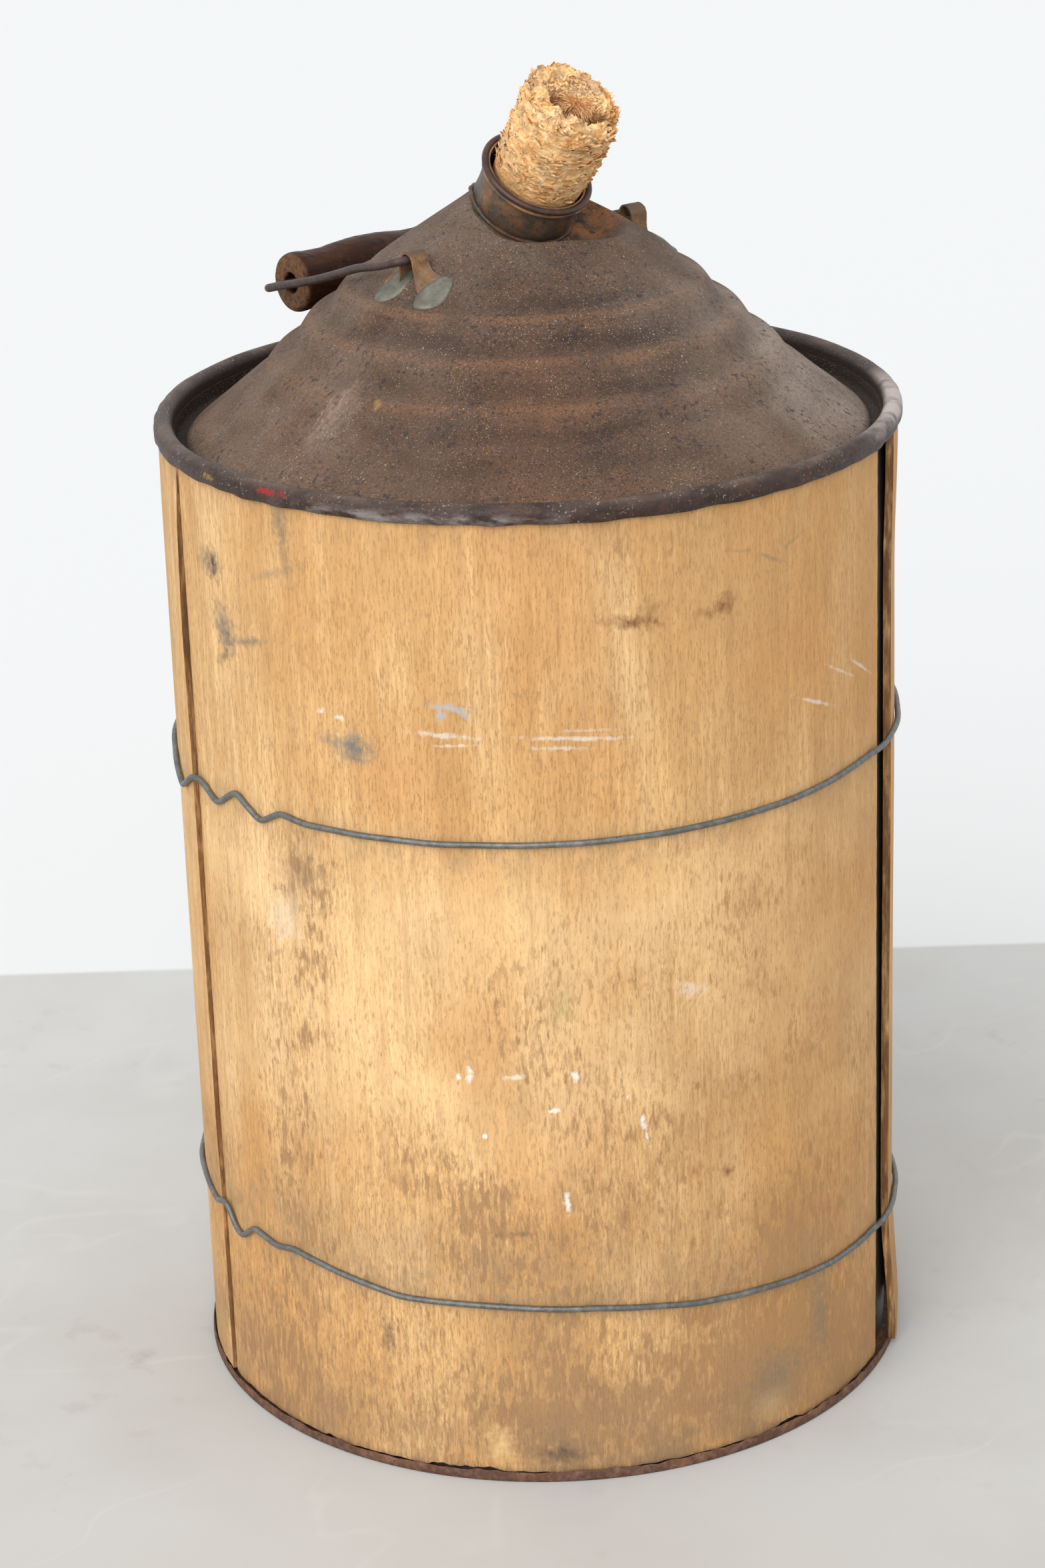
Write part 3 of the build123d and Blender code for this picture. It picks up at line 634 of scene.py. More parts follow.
def weather(paint, smudges):
    """Flecks, grime and stains that thicken towards the bottom of the jacket and its hoops, and a painted
    shade on the side towards angle 300.
    """
    height = paint.axis(2)
    clean = paint.both(paint.span(height, 105, 160), paint.span(height, 275, 235), paint.grain(60, 0.3, 0.6))
    paint.lay((1.00, 0.700, 0.370), clean, 0.50)
    cloud = paint.grain(55, 0.26, 0.74, detail=7, rough=0.62)
    low = paint.span(height, 290, 70, 0.50, 0.86)
    right = paint.span(paint.facing(285), 0.1, 0.95)
    foot = paint.both(paint.span(height, 66, 30), paint.span(right, 0.0, 1.0, 0.14, 0.38))
    cover = paint.maths("ADD", paint.both(cloud, low), foot)
    for degrees, level, half_width, half_height, added in smudges:
        size = (30.0, half_width, half_height)
        patch = paint.spot(cylinder_point(FRONT_RADIUS, degrees, level), size, (0, 0, degrees), 1.4, 0.6, 9.0)
        cover = paint.maths("ADD", cover, paint.both(patch, added))
    paint.lay((0.49, 0.270, 0.110), flecks(paint, 1.3, cover), 0.66)
    finer = paint.maths("SUBTRACT", cover, 0.14)
    paint.lay((0.28, 0.155, 0.074), flecks(paint, 1.9, finer), 0.62)
    film = paint.both(paint.grain(30, 0.34, 0.66, stretch=(1, 1, 1.4), detail=8, rough=0.62), low)
    paint.lay((0.34, 0.212, 0.110), film, paint.span(right, 0, 1, 0.25, 0.60))
    wire_line = paint.maths("SUBTRACT", height, paint.maths("MULTIPLY", paint.facing(170), 11.3))
    near = paint.both(paint.span(wire_line, 60, 68), paint.span(wire_line, 104, 74))
    paint.lay((0.28, 0.200, 0.120), near, paint.grain(9, 0.36, 0.62, detail=6), 0.50)
    near = paint.both(paint.span(height, 245, 254), paint.span(height, 266, 258))
    paint.lay((0.36, 0.250, 0.145), near, paint.grain(8, 0.42, 0.66, detail=6), 0.45)
    foot = paint.both(paint.span(height, 50, 8), paint.grain(16, 0.34, 0.62, detail=6))
    paint.lay((0.24, 0.155, 0.090), foot, paint.span(right, 0, 1, 0.42, 0.90))
    high = paint.both(paint.span(height, 250, 350), paint.grain(70, 0.2, 0.6, detail=4))
    paint.lay((0.58, 0.330, 0.140), high, 0.36)
    top = paint.both(paint.span(height, 362, 379), paint.grain(7, 0.42, 0.64, stretch=(1, 1, 2.5), detail=6))
    paint.lay((0.34, 0.185, 0.080), top, 0.5)
    # painted shade on the side towards angle 300, away from the light
    shade = paint.span(paint.facing(300), 0.45, 1.0)
    paint.lay((0.50, 0.250, 0.078), shade, 0.38)
    runs = paint.grain(5, 0.56, 0.70, stretch=(1, 1, 22), detail=4)
    paint.lay((0.46, 0.255, 0.105), runs, 0.40)


DARK, BLUE = (0.060, 0.045, 0.038), (0.170, 0.175, 0.165)
BROWN, GREY = (0.20, 0.085, 0.035), (0.20, 0.165, 0.12)
WHITE, PALE_BLUE, TAN, GREEN = (0.80, 0.77, 0.70), (0.42, 0.45, 0.48), (0.70, 0.46, 0.22), (0.36, 0.32, 0.11)
# angle about Z, height, half width, half height, lean in degrees, colour, strength
MARKS = [
    (173.9, 346.4, 4.0, 5.0, 10, DARK, 0.80), (171.2, 346.0, 5.5, 4.5, 0, GREY, 0.40),
    (176.2, 322.5, 5.5, 8.0, 20, GREY, 0.80), (175.5, 312.0, 5.0, 2.0, 30, DARK, 0.45),
    (182.5, 322.0, 9.5, 1.5, 15, GREY, 0.65), (189.0, 351.0, 11.0, 1.5, 20, GREY, 0.35),
    (202.2, 290.9, 6.5, 5.0, 0, BLUE, 0.75), (198.5, 292.0, 5.0, 3.0, 0, BLUE, 0.35),
    (244.5, 338.7, 9.0, 2.2, -8, BROWN, 0.80), (247.5, 342.0, 4.5, 4.5, 0, BROWN, 0.35),
    (259.4, 339.9, 3.2, 3.0, 0, BROWN, 0.80), (256.8, 338.0, 5.5, 1.5, 0, BROWN, 0.40),
    (190.8, 371.0, 3.5, 7.0, 8, GREY, 0.55), (191.5, 358.0, 2.5, 9.0, 12, GREY, 0.35),
    (217.8, 309.5, 6.5, 1.3, -4, PALE_BLUE, 0.70), (216.4, 306.8, 3.0, 1.4, 30, PALE_BLUE, 0.60),
    (219.9, 306.9, 3.2, 0.9, -35, PALE_BLUE, 0.50), (217.0, 299.0, 9.5, 1.0, -3, WHITE, 0.45),
    (217.8, 295.4, 6.5, 0.5, 4, WHITE, 0.40), (236.6, 297.6, 17.0, 0.8, -4, WHITE, 0.42),
    (234.0, 294.4, 8.0, 0.7, -3, WHITE, 0.35), (237.0, 300.5, 9.0, 0.6, -2, WHITE, 0.30),
    (277.0, 293.6, 10.0, 0.6, -24, WHITE, 0.40), (290.3, 297.5, 8.0, 0.6, -32, WHITE, 0.40),
    (283.5, 301.0, 9.0, 0.5, -28, WHITE, 0.30), (196.8, 303.2, 1.6, 0.8, 20, WHITE, 0.70),
    (200.0, 301.6, 1.6, 0.8, 0, WHITE, 0.60), (218.6, 168.0, 1.1, 3.6, 0, WHITE, 0.95),
    (216.9, 167.0, 0.7, 1.2, 0, WHITE, 0.85), (225.4, 167.8, 3.4, 0.9, 8, WHITE, 0.55),
    (234.7, 168.0, 1.6, 1.7, 0, WHITE, 0.90), (231.3, 154.3, 2.4, 0.8, 10, WHITE, 0.80),
    (244.9, 146.0, 1.2, 2.6, 15, WHITE, 0.90), (245.5, 139.5, 0.7, 2.4, 10, WHITE, 0.75),
    (232.9, 116.6, 1.1, 3.8, 5, WHITE, 0.95), (220.5, 143.8, 0.9, 0.8, 0, WHITE, 0.85),
    (242.5, 157.5, 0.7, 0.8, 0, WHITE, 0.70), (221.4, 14.5, 4.5, 7.0, 0, TAN, 0.75),
    (203.3, 55.0, 2.4, 6.5, 6, DARK, 0.50), (232.6, 195.4, 5.0, 6.0, 0, GREEN, 0.32),
    (266.7, 14.8, 7.0, 6.0, 0, TAN, 0.45), (231.0, 11.0, 8.0, 3.5, 0, DARK, 0.55),
    (187.0, 218.0, 8.0, 9.0, 0, WHITE, 0.22), (190.5, 236.0, 12.0, 12.0, 0, GREY, 0.30),
    (259.0, 119.0, 2.2, 2.2, 0, BROWN, 0.70), (225.0, 104.0, 6.5, 1.2, 6, DARK, 0.40),
    (268.0, 24.0, 12.0, 11.0, 0, GREY, 0.55), (278.0, 44.0, 6.0, 20.0, 0, GREY, 0.45),
    (268.0, 353.0, 5.5, 0.7, -25, GREY, 0.45), (272.5, 357.0, 4.5, 0.7, 20, GREY, 0.40),
    (262.0, 358.5, 4.0, 0.6, -10, GREY, 0.35), (253.0, 196.0, 5.0, 2.6, -20, WHITE, 0.28),
]


def marks(paint):
    """Scuffs, drips and stains on the front of the jacket."""
    for degrees, height, half_width, half_height, lean, colour, strength in MARKS:
        size = (5.0, half_width, half_height)
        centre = cylinder_point(FRONT_RADIUS, degrees, height)
        soft, ragged = (0.7, 0.75) if colour in (WHITE, PALE_BLUE) else (1.15, 0.60)
        place = paint.spot(centre, size, (lean, 0, degrees), soft=soft, ragged=ragged, grit=2.6)
        paint.lay(colour, place, min(1.0, 1.25 * strength))


# ---------------------------------------------------------------- breast and neck
BREAST_COLUMNS, RECESS_ROWS, BREAST_ROWS = 320, 30, 115
RECESS_BLEND = 1.3           # how softly the recess's edge is rounded
# the recess round the neck: angle in the neck's plane, then reach of its floor, and its wall's steepness
RECESS_FLOOR = [(0, 25), (20, 24), (90, 24), (150, 22), (172, 21.8), (200, 25.6), (217, 29.8), (228, 29.8),
                (243, 28.3), (257, 27.4), (277, 29.3), (292, 31), (306, 30.5), (322, 28), (340, 26)]
RECESS_WALL = [(0, 0.4), (20, 0.5), (90, 1), (150, 2), (172, 3), (217, 3), (277, 3), (292, 2.3), (306, 1.4),
               (322, 0.75), (340, 0.5)]


def breast_height(radius):
    """Height of the breast's outer face: a bowed cone with three pressed steps."""
    bow = np.minimum(1, abs(radius - CROWN_MIDDLE) / CROWN_REACH)
    crown = BREAST_CROWN * np.cos(math.pi / 2 * bow) ** 2
    share = np.clip((radius - FIRST_STEP) / (LAST_STEP - FIRST_STEP), 0, 1)
    phase = 2 * math.pi * (radius - FIRST_STEP) / STEP_PITCH
    step = STEP_HEIGHT * np.sqrt(np.sin(math.pi * share).clip(0)) * np.sin(phase)
    return MOAT_FLOOR + FOOT_STEP - BREAST_FALL * (radius - FOOT_RADIUS) + crown - step


def breast_station(across, slope):
    """Station at which a line parallel to the neck's axis meets the unbroken breast."""
    low, high = np.full(across.shape, -120.0), np.full(across.shape, 40.0)
    for _ in range(40):
        middle = (low + high) / 2
        point = neck_point(across, slope, middle)
        above = point[..., 2] > breast_height(np.hypot(point[..., 0], point[..., 1]))
        high, low = np.where(above, middle, high), np.where(above, low, middle)
    return (low + high) / 2


def recess_station(across, slope):
    """Station of the recess's floor and wall."""
    angle = np.degrees(np.arctan2(slope, across)) % 360
    past = np.hypot(across, slope) - periodic(angle, RECESS_FLOOR)
    return periodic(angle, RECESS_WALL) * (past + np.sqrt(past ** 2 + 2.0)) / 2


def dent(points, radius):
    """How far the breast is pushed up or down by use, between its recess and its foot."""
    push = 0.35 * ripple(points, 85, 3) + 0.10 * ripple(points, 24, 4)
    return push * smooth_step(radius, 30, 45) * smooth_step(radius, 127, 112)


def breast_face(across, slope):
    """Points of the breast's face, dented a little, where lines parallel to the neck's axis meet it."""
    whole = breast_station(across, slope)
    point = neck_point(across, slope, lesser(whole, recess_station(across, slope), RECESS_BLEND))
    radius = np.hypot(point[..., 0], point[..., 1])
    point[..., 2] += dent(point, radius)
    return point


def breast():
    """Breast sheet: recess, stepped cone, foot, moat and the lip soldered in the hoop."""
    turn = np.arange(BREAST_COLUMNS) * 360 / BREAST_COLUMNS
    cos, sin = np.cos(np.radians(turn)), np.sin(np.radians(turn))
    trial = np.linspace(NECK_RADIUS, 52, 120)[:, None]
    inside = recess_station(trial * cos, trial * sin) < breast_station(trial * cos, trial * sin)
    rim = NECK_RADIUS + inside.sum(0) * (trial[1, 0] - trial[0, 0]) + 3.5
    rim = periodic(turn, list(zip(turn, rim)), reach=6)
    reach = NECK_RADIUS + 0.05 + (rim - NECK_RADIUS) * np.linspace(0, 1, RECESS_ROWS)[:, None]
    inner = breast_face(reach * cos, reach * sin)
    edge_radius = np.hypot(inner[-1, :, 0], inner[-1, :, 1])
    edge_angle = np.unwrap(np.arctan2(inner[-1, :, 1], inner[-1, :, 0]))
    even_angle = edge_angle.mean() + np.radians(turn - turn.mean())
    share = np.linspace(0, 1, BREAST_ROWS)[1:, None]
    radius = edge_radius + (FOOT_RADIUS - edge_radius) * share
    angle = edge_angle + (even_angle - edge_angle) * smooth_step(share, 0, 1)
    flat = np.stack([radius * np.cos(angle), radius * np.sin(angle), breast_height(radius)], -1)
    from_foot = flat - NECK_FOOT
    across, slope = from_foot @ ACROSS, from_foot @ UP_SLOPE
    flat[..., 2] += dent(flat, radius)
    drop = from_foot @ UP_NECK - lesser(from_foot @ UP_NECK, recess_station(across, slope), RECESS_BLEND)
    flat -= drop[..., None] * UP_NECK
    profile = [(FOOT_RADIUS + 0.3, 0.25), (FOOT_RADIUS + 0.8, 0), (130.6, 0), (131.7, 0.05), (132.1, 0.5),
               (MOAT_LIP_RADIUS, 1.4), (MOAT_LIP_RADIUS, 4.6), (MOAT_LIP_RADIUS + 0.1, 5.0)]
    moat = [cylinder_point(r, np.degrees(even_angle), MOAT_FLOOR + rise) for r, rise in profile]
    face = np.concatenate([inner, flat, moat])
    normal = grid_normals(face, wrap=True)
    normal *= np.sign((normal * UP_NECK).sum(-1).mean())
    build = Build()
    build.slab(face, face - SHEET * normal, wrap=True)
    build.piece("breast", "can", "breast_iron", [breast_iron()], ["cone_top"])


COLLAR_STATION, COLLAR_RISE = 14.3, 1.5
LIP_WIRE, BEAD = 1.22, 0.9   # radii of the lip's wire and of the solder bead
NECK_SEAM = 284.0            # angle of the neck's lap


def neck():
    """Neck sheet with its folded collar and lapped seam, scribed to the recess."""
    turn = np.arange(192) * 360 / 192
    cos, sin = np.cos(np.radians(turn)), np.sin(np.radians(turn))
    foot = lesser(breast_station(NECK_RADIUS * cos, NECK_RADIUS * sin),
                  recess_station(NECK_RADIUS * cos, NECK_RADIUS * sin), RECESS_BLEND) - 0.3
    share = np.linspace(0, 1, 72)[:, None]
    station = foot + (NECK_LENGTH + 0.5 - foot) * share
    collar = COLLAR_RISE * np.exp(-np.abs((station - COLLAR_STATION) / 0.95) ** 3)
    lap = 0.5 * smooth_step((turn - NECK_SEAM) % 360, 0, 1.2) * smooth_step((turn - NECK_SEAM) % 360, 60, 10)
    surface = np.stack(np.broadcast_arrays(NECK_RADIUS * cos, NECK_RADIUS * sin, station), -1)
    worn = 0.22 * ripple(surface, 15, 8) * smooth_step(station, 13, 9) * smooth_step(station - foot, 0.5, 3)
    radius = NECK_RADIUS + collar + (lap + worn) * smooth_step(station, 16, 14)
    outer = neck_point(radius * cos, radius * sin, station)
    radius = radius - NECK_WALL
    build = Build()
    build.slab(outer, neck_point(radius * cos, radius * sin, station), wrap=True)
    build.piece("neck", "can", "neck_iron", [neck_iron()], ["neck_tube"])

    build = Build()
    wobble = 0.12 * ripple(np.stack([20 * cos, 20 * sin], -1), 22, 9)
    radius = NECK_RADIUS + 1.25 + wobble
    wire = neck_point(radius * cos, radius * sin, NECK_LENGTH + wobble)
    build.rod(wire, LIP_WIRE, UP_NECK, closed=True)
    build.piece("neck_lip", "can", "lip_iron", [lip_iron()], ["neck_lip_wire"])

    build = Build()
    bead = neck_point((NECK_RADIUS + 0.5) * cos, (NECK_RADIUS + 0.5) * sin, foot + 0.6)
    build.rod(bead, BEAD + 0.25 * ripple(bead, 6, 10), UP_NECK, sides=10, closed=True)
    build.piece("neck_bead", "can", "solder", [neck_solder_metal()], ["neck_solder"])


# ---------------------------------------------------------------- ears and their solder
HALF_STRAP, EAR_WIDER = 0.4, 0.6         # half the strap's thickness, and its extra width on each side
PAD_LENGTH, PAD_WIDTH = 7.5, 5.5         # half sizes


def ear_line(share):
    """Y and Z of the strap's middle line above flat ground, for shares of its length from 0 to 1."""
    radius, leg, foot, bend_radius = EAR_ARCH_RADIUS - HALF_STRAP, 5.0, 6.5, 1.2
    arch = math.pi * radius
    bend = 0.5 * math.pi * bend_radius
    total = arch + 2 * (leg + bend + foot)
    distance = np.abs(share - 0.5) * total
    side = np.sign(share - 0.5)
    on_arch = np.minimum(distance, arch / 2) / radius
    y = radius * np.sin(on_arch)
    z = radius * np.cos(on_arch)
    z -= np.clip(distance - arch / 2, 0, leg)
    on_bend = np.clip(distance - arch / 2 - leg, 0, bend) / bend_radius
    y += bend_radius * (1 - np.cos(on_bend))
    z -= bend_radius * np.sin(on_bend)
    y += np.clip(distance - arch / 2 - leg - bend, 0, foot)
    return side * y, z, np.clip((distance - arch / 2) / (leg + bend), 0, 1)


def ear(name, sign, stride):
    """Bent strap ear on one side, its front leg striding forward to its pad."""
    share = np.linspace(0, 1, 110)[:, None]
    y, z, down = ear_line(share)
    width = (EAR_OUTSIDE - EAR_INSIDE) / 2 + EAR_WIDER
    middle = (EAR_OUTSIDE + EAR_INSIDE) / 2 + 0.3 * stride * down ** 2
    spread = np.linspace(-1, 1, 13)[None]
    x = middle + spread * (width - 0.4 + 0.3 * smooth_step(down, 0.35, 1.0)) + 0 * y
    y = EAR_Y + y - np.where(share < 0.5, stride, -0.6) * down ** 1.6 + 0 * spread
    ground = breast_height(np.hypot(x, y)) + 0.25
    upright = EAR_ARCH_HEIGHT + z
    low = EAR_ARCH_HEIGHT + z.min()
    raised = ground + (upright - low) * (EAR_ARCH_HEIGHT - ground) / (EAR_ARCH_HEIGHT - low)
    z = np.where(down < 1, raised, ground)
    z = np.where(upright > EAR_ARCH_HEIGHT, upright, z)
    grid = np.stack([x, y, z], -1)
    grid += 0.12 * np.stack([ripple(grid, 9, seed) for seed in (21, 22, 23)], -1)
    normal = grid_normals(grid, wrap=False)
    outer, inner = grid + HALF_STRAP * normal, grid - HALF_STRAP * normal
    for face in (outer, inner):
        face[..., 0] *= sign
    build = Build()
    build.slab(outer, inner)
    build.piece(name + "_strap", "can", "ear_iron", [EAR_IRON], [name])


def ear_pads(name, sign):
    """Two lumps of solder over a strap's feet, thickest at their lower edges."""
    build = Build()
    for number, (x, y) in enumerate(PAD_PLACES):
        turn = np.arange(72) * 2 * math.pi / 72
        share = np.linspace(0.04, 1, 22)[:, None]
        draw = ripple(np.stack([4 * np.cos(turn), 4 * np.sin(turn)], -1), 6, 31 + number)
        along = (PAD_LENGTH + 0.3 * draw) * np.cos(turn) * share
        beside = (PAD_WIDTH + 0.3 * draw) * np.sin(turn) * share
        px = x + along * math.cos(PAD_HEADING) - beside * math.sin(PAD_HEADING)
        py = y + along * math.sin(PAD_HEADING) + beside * math.cos(PAD_HEADING)
        ground = breast_height(np.hypot(px, py))
        lower = (np.hypot(px, py) - math.hypot(x, y)) / 6
        dome = (1.3 + 0.55 * lower) * (1 - share ** 5) ** 0.6 + 0.2 - 0.9 * smooth_step(share, 0.97, 1.0)
        top = np.stack([sign * px, py, ground + dome], -1)
        base = np.stack([sign * px[-1], py[-1], ground[-1] - 1.2], -1)
        numbers = build.add(np.concatenate([top, base[None]]))
        build.quads(numbers, wrap_columns=True)
        build.cap(numbers[0], top[0].mean(0))
        build.cap(numbers[-1], base.mean(0))
    build.piece(name + "_pads", "can", "solder", [PAD_SOLDER], [name + "_solder"])


# ---------------------------------------------------------------- bail
BAIL_BEND = 4.5              # radius of its four bends


def rounded(corners, radius, step=0.8):
    """Points along straight runs whose corners are turned with arcs of one radius."""
    corners = [np.array(c, float) for c in corners]
    points = [corners[0]]
    for before, corner, after in zip(corners, corners[1:], corners[2:]):
        back, ahead = unit(before - corner), unit(after - corner)
        half = math.acos(float(back @ ahead)) / 2
        centre = corner + unit(back + ahead) * radius / math.sin(half)
        first = corner + back * radius / math.tan(half)
        last = corner + ahead * radius / math.tan(half)
        for share in np.linspace(0, 1, 9):
            spoke = unit((first - centre) * (1 - share) + (last - centre) * share)
            points.append(centre + spoke * radius)
    points.append(corners[-1])
    points = np.array(points)
    distance = np.concatenate([[0], np.cumsum(np.linalg.norm(np.diff(points, axis=0), axis=1))])
    even = np.linspace(0, distance[-1], int(distance[-1] / step))
    return np.stack([np.interp(even, distance, points[:, i]) for i in range(3)], -1)


def bail():
    """One wire from ear to ear through the grip, very slightly bent by use."""
    pivot, grip = np.array((0, EAR_Y, PIVOT_HEIGHT)), np.array((0, GRIP_Y, GRIP_Z))
    half = [pivot + (BAIL_END, 0, 0), pivot + (BAIL_SHOULDER, 0, 0), grip + (BAIL_CORNER, 0, 0)]
    route = half + [point * (-1, 1, 1) for point in reversed(half)]
    path = rounded(route, BAIL_BEND)
    leg = smooth_step(path[:, 1], 8, 30) * smooth_step(path[:, 1], 92, 75)
    path += leg[:, None] * 0.5 * np.stack([ripple(path, 70, seed) for seed in (41, 42, 43)], -1)
    build = Build()
    build.rod(path, BAIL_WIRE, np.cross(grip - pivot, ACROSS))
    build.piece("bail_rod", "bail", "bail_iron", [bail_iron()], ["bail_wire"])


def grip():
    """Turned grip with worn chamfers, a burred bore and small dents."""
    half = GRIP_HALF_LENGTH
    side = [(half, GRIP_HOLE + 0.5), (half + 0.1, 6.5), (half, 9.6), (half - 0.5, 10.7), (half - 1.6, 11.4),
            (half - 3.5, 11.6), (27, 11.05), (20, 11.1), (14, 11.75), (7, 12.35)]
    outline = side + [(0, 12.5)] + [(-x, r) for x, r in reversed(side)]
    bore = [(-half + 0.6, GRIP_HOLE), (-half + 8, GRIP_HOLE - 0.2), (half - 8, GRIP_HOLE - 0.2),
            (half - 0.6, GRIP_HOLE)]
    outline = np.array(outline + bore)
    distance = np.concatenate([[0], np.cumsum(np.linalg.norm(np.diff(outline, axis=0), axis=1))])
    even = np.linspace(0, distance[-1], 210)
    x, radius = (np.interp(even, distance, outline[:, i]) for i in (0, 1))
    window = np.hanning(7)
    outside = radius > 9.0
    eased = np.convolve(np.pad(radius, 3, mode="edge"), window / window.sum(), "valid")
    radius = np.where(outside, eased, radius)
    turn = np.arange(96)[None] * 2 * math.pi / 96
    y, z = radius[:, None] * np.cos(turn), radius[:, None] * np.sin(turn)
    point = np.stack([x[:, None] + 0 * turn, y, z], -1)
    worn = 0.10 * ripple(point, 14, 51) + 0.05 * ripple(point, 4, 52)
    point[..., 1:] *= 1 + (worn * outside[:, None] / 12)[..., None]
    build = Build()
    build.quads(build.add(point + (0, GRIP_Y, GRIP_Z)), wrap_rows=True, wrap_columns=True)
    build.piece("turned_grip", "grip", "grip_wood", [grip_wood()], ["bail_grip"], crease=50)


# ---------------------------------------------------------------- cob stopper
COB_LEAN = 1.0               # how far the cob leans to +X in the neck
COB_FOOT, COB_SHOULDER = -9.5, 52.0
COB_STATIONS = (-9.5, -7.0, 13.8, 18.5, 25.8, 50.0, 53.0)
COB_RADII = (12.8, 15.2, 16.7, 17.2, 18.1, 18.5, 17.8)
COB_RIM = 17.0               # radius at which the broken end begins
CORE_ACROSS, CORE_SLOPE = 2.0, 0.5       # middle of the broken core
SCALE_COLUMNS, SCALE_PITCH = 19, 3.3
COB_COLUMNS, COB_ROWS, COB_TOP_ROWS = 200, 110, 34
TORN_SCALES, FIBRES, HAIRS = 420, 560, 900


def cob_point(across, slope, station):
    """Point from places in the cob's own round frame."""
    return neck_point(np.asarray(across) + COB_LEAN, slope, station)


def cob_ring(radius, turn, station):
    """Point from a radius, an angle and a station in the cob's own round frame."""
    return cob_point(radius * np.cos(turn), radius * np.sin(turn), station)


def cob_outward(turn):
    """Directions straight out from the cob's axis."""
    return np.cos(turn)[:, None] * ACROSS + np.sin(turn)[:, None] * UP_SLOPE


def cob_top(across, slope):
    """Station of the cob's broken end: a torn rim, a fibrous core and a crack on one side of it."""
    angle = np.degrees(np.arctan2(slope, across))
    core_x, core_y = across - CORE_ACROSS, slope - CORE_SLOPE
    reach = np.hypot(core_x, core_y)
    round_core = np.degrees(np.arctan2(core_y, core_x)) % 360
    side = smooth_step(round_core, 130, 165) * smooth_step(round_core, 325, 285)
    middle = 8.2 + 0.012 * (round_core - 220)
    crack = side * np.exp(-np.abs((reach - middle) / (3.5 - 0.007 * (round_core - 170))) ** 3)
    place = np.stack([across, slope], -1)
    rough = 0.7 * ripple(place, 8, 61) + 0.4 * ripple(place, 2.5, 62)
    edge = np.hypot(across, slope) / COB_RIM
    rim = (1.6 * np.sin(np.radians(angle)) - 1.6 * np.cos(np.radians(angle))) * edge
    notch = 4.0 * np.exp(-((angle + 40) / 9) ** 2) * smooth_step(edge, 0.55, 0.85)
    dish = 1.6 * smooth_step(reach, 8, 2) * side
    return COB_SHOULDER + 1.6 + rim + rough - 11.5 * crack - notch - dish - 1.8 * smooth_step(edge, 0.8, 1.05)


def cob_body(build):
    """Woody core with shallow sockets on its side and its broken end."""
    turn = np.radians(np.arange(COB_COLUMNS) * 360 / COB_COLUMNS)
    rim = cob_top(COB_RIM * np.cos(turn), COB_RIM * np.sin(turn)) - 1.0
    share = np.linspace(0, 1, COB_ROWS)[:, None]
    station = COB_FOOT + (rim - COB_FOOT) * share
    radius = np.interp(station, COB_STATIONS, COB_RADII)
    column = turn * SCALE_COLUMNS / (2 * math.pi) + 0 * station
    row = station / SCALE_PITCH + 0.5 * (np.floor(column) % 2)
    socket = np.abs(np.sin(math.pi * column) * np.sin(math.pi * row)) ** 0.7
    round_place = np.stack([18 * np.cos(turn) + 0 * station, 18 * np.sin(turn) + 0 * station, station], -1)
    relief = 0.25 * ripple(round_place, 5, 63) + 0.16 * ripple(round_place, 1.8, 64) - 0.8 * socket
    radius = radius + relief * smooth_step(station, 15, 20) - 1.3 * smooth_step(share, 0.975, 1.0)
    side = cob_ring(radius, turn, station)
    inward = np.linspace(1, 0.02, COB_TOP_ROWS)[1:, None] * radius[-1]
    across, slope = inward * np.cos(turn), inward * np.sin(turn)
    ease = smooth_step(np.linspace(0, 1, COB_TOP_ROWS)[1:, None], 0, 0.12)
    end = cob_point(across, slope, rim + (cob_top(across, slope) - rim) * ease)
    numbers = build.add(np.concatenate([side, end]))
    build.quads(numbers, wrap_columns=True)
    build.cap(numbers[0], side[0].mean(0))
    build.cap(numbers[-1], end[-1].mean(0))


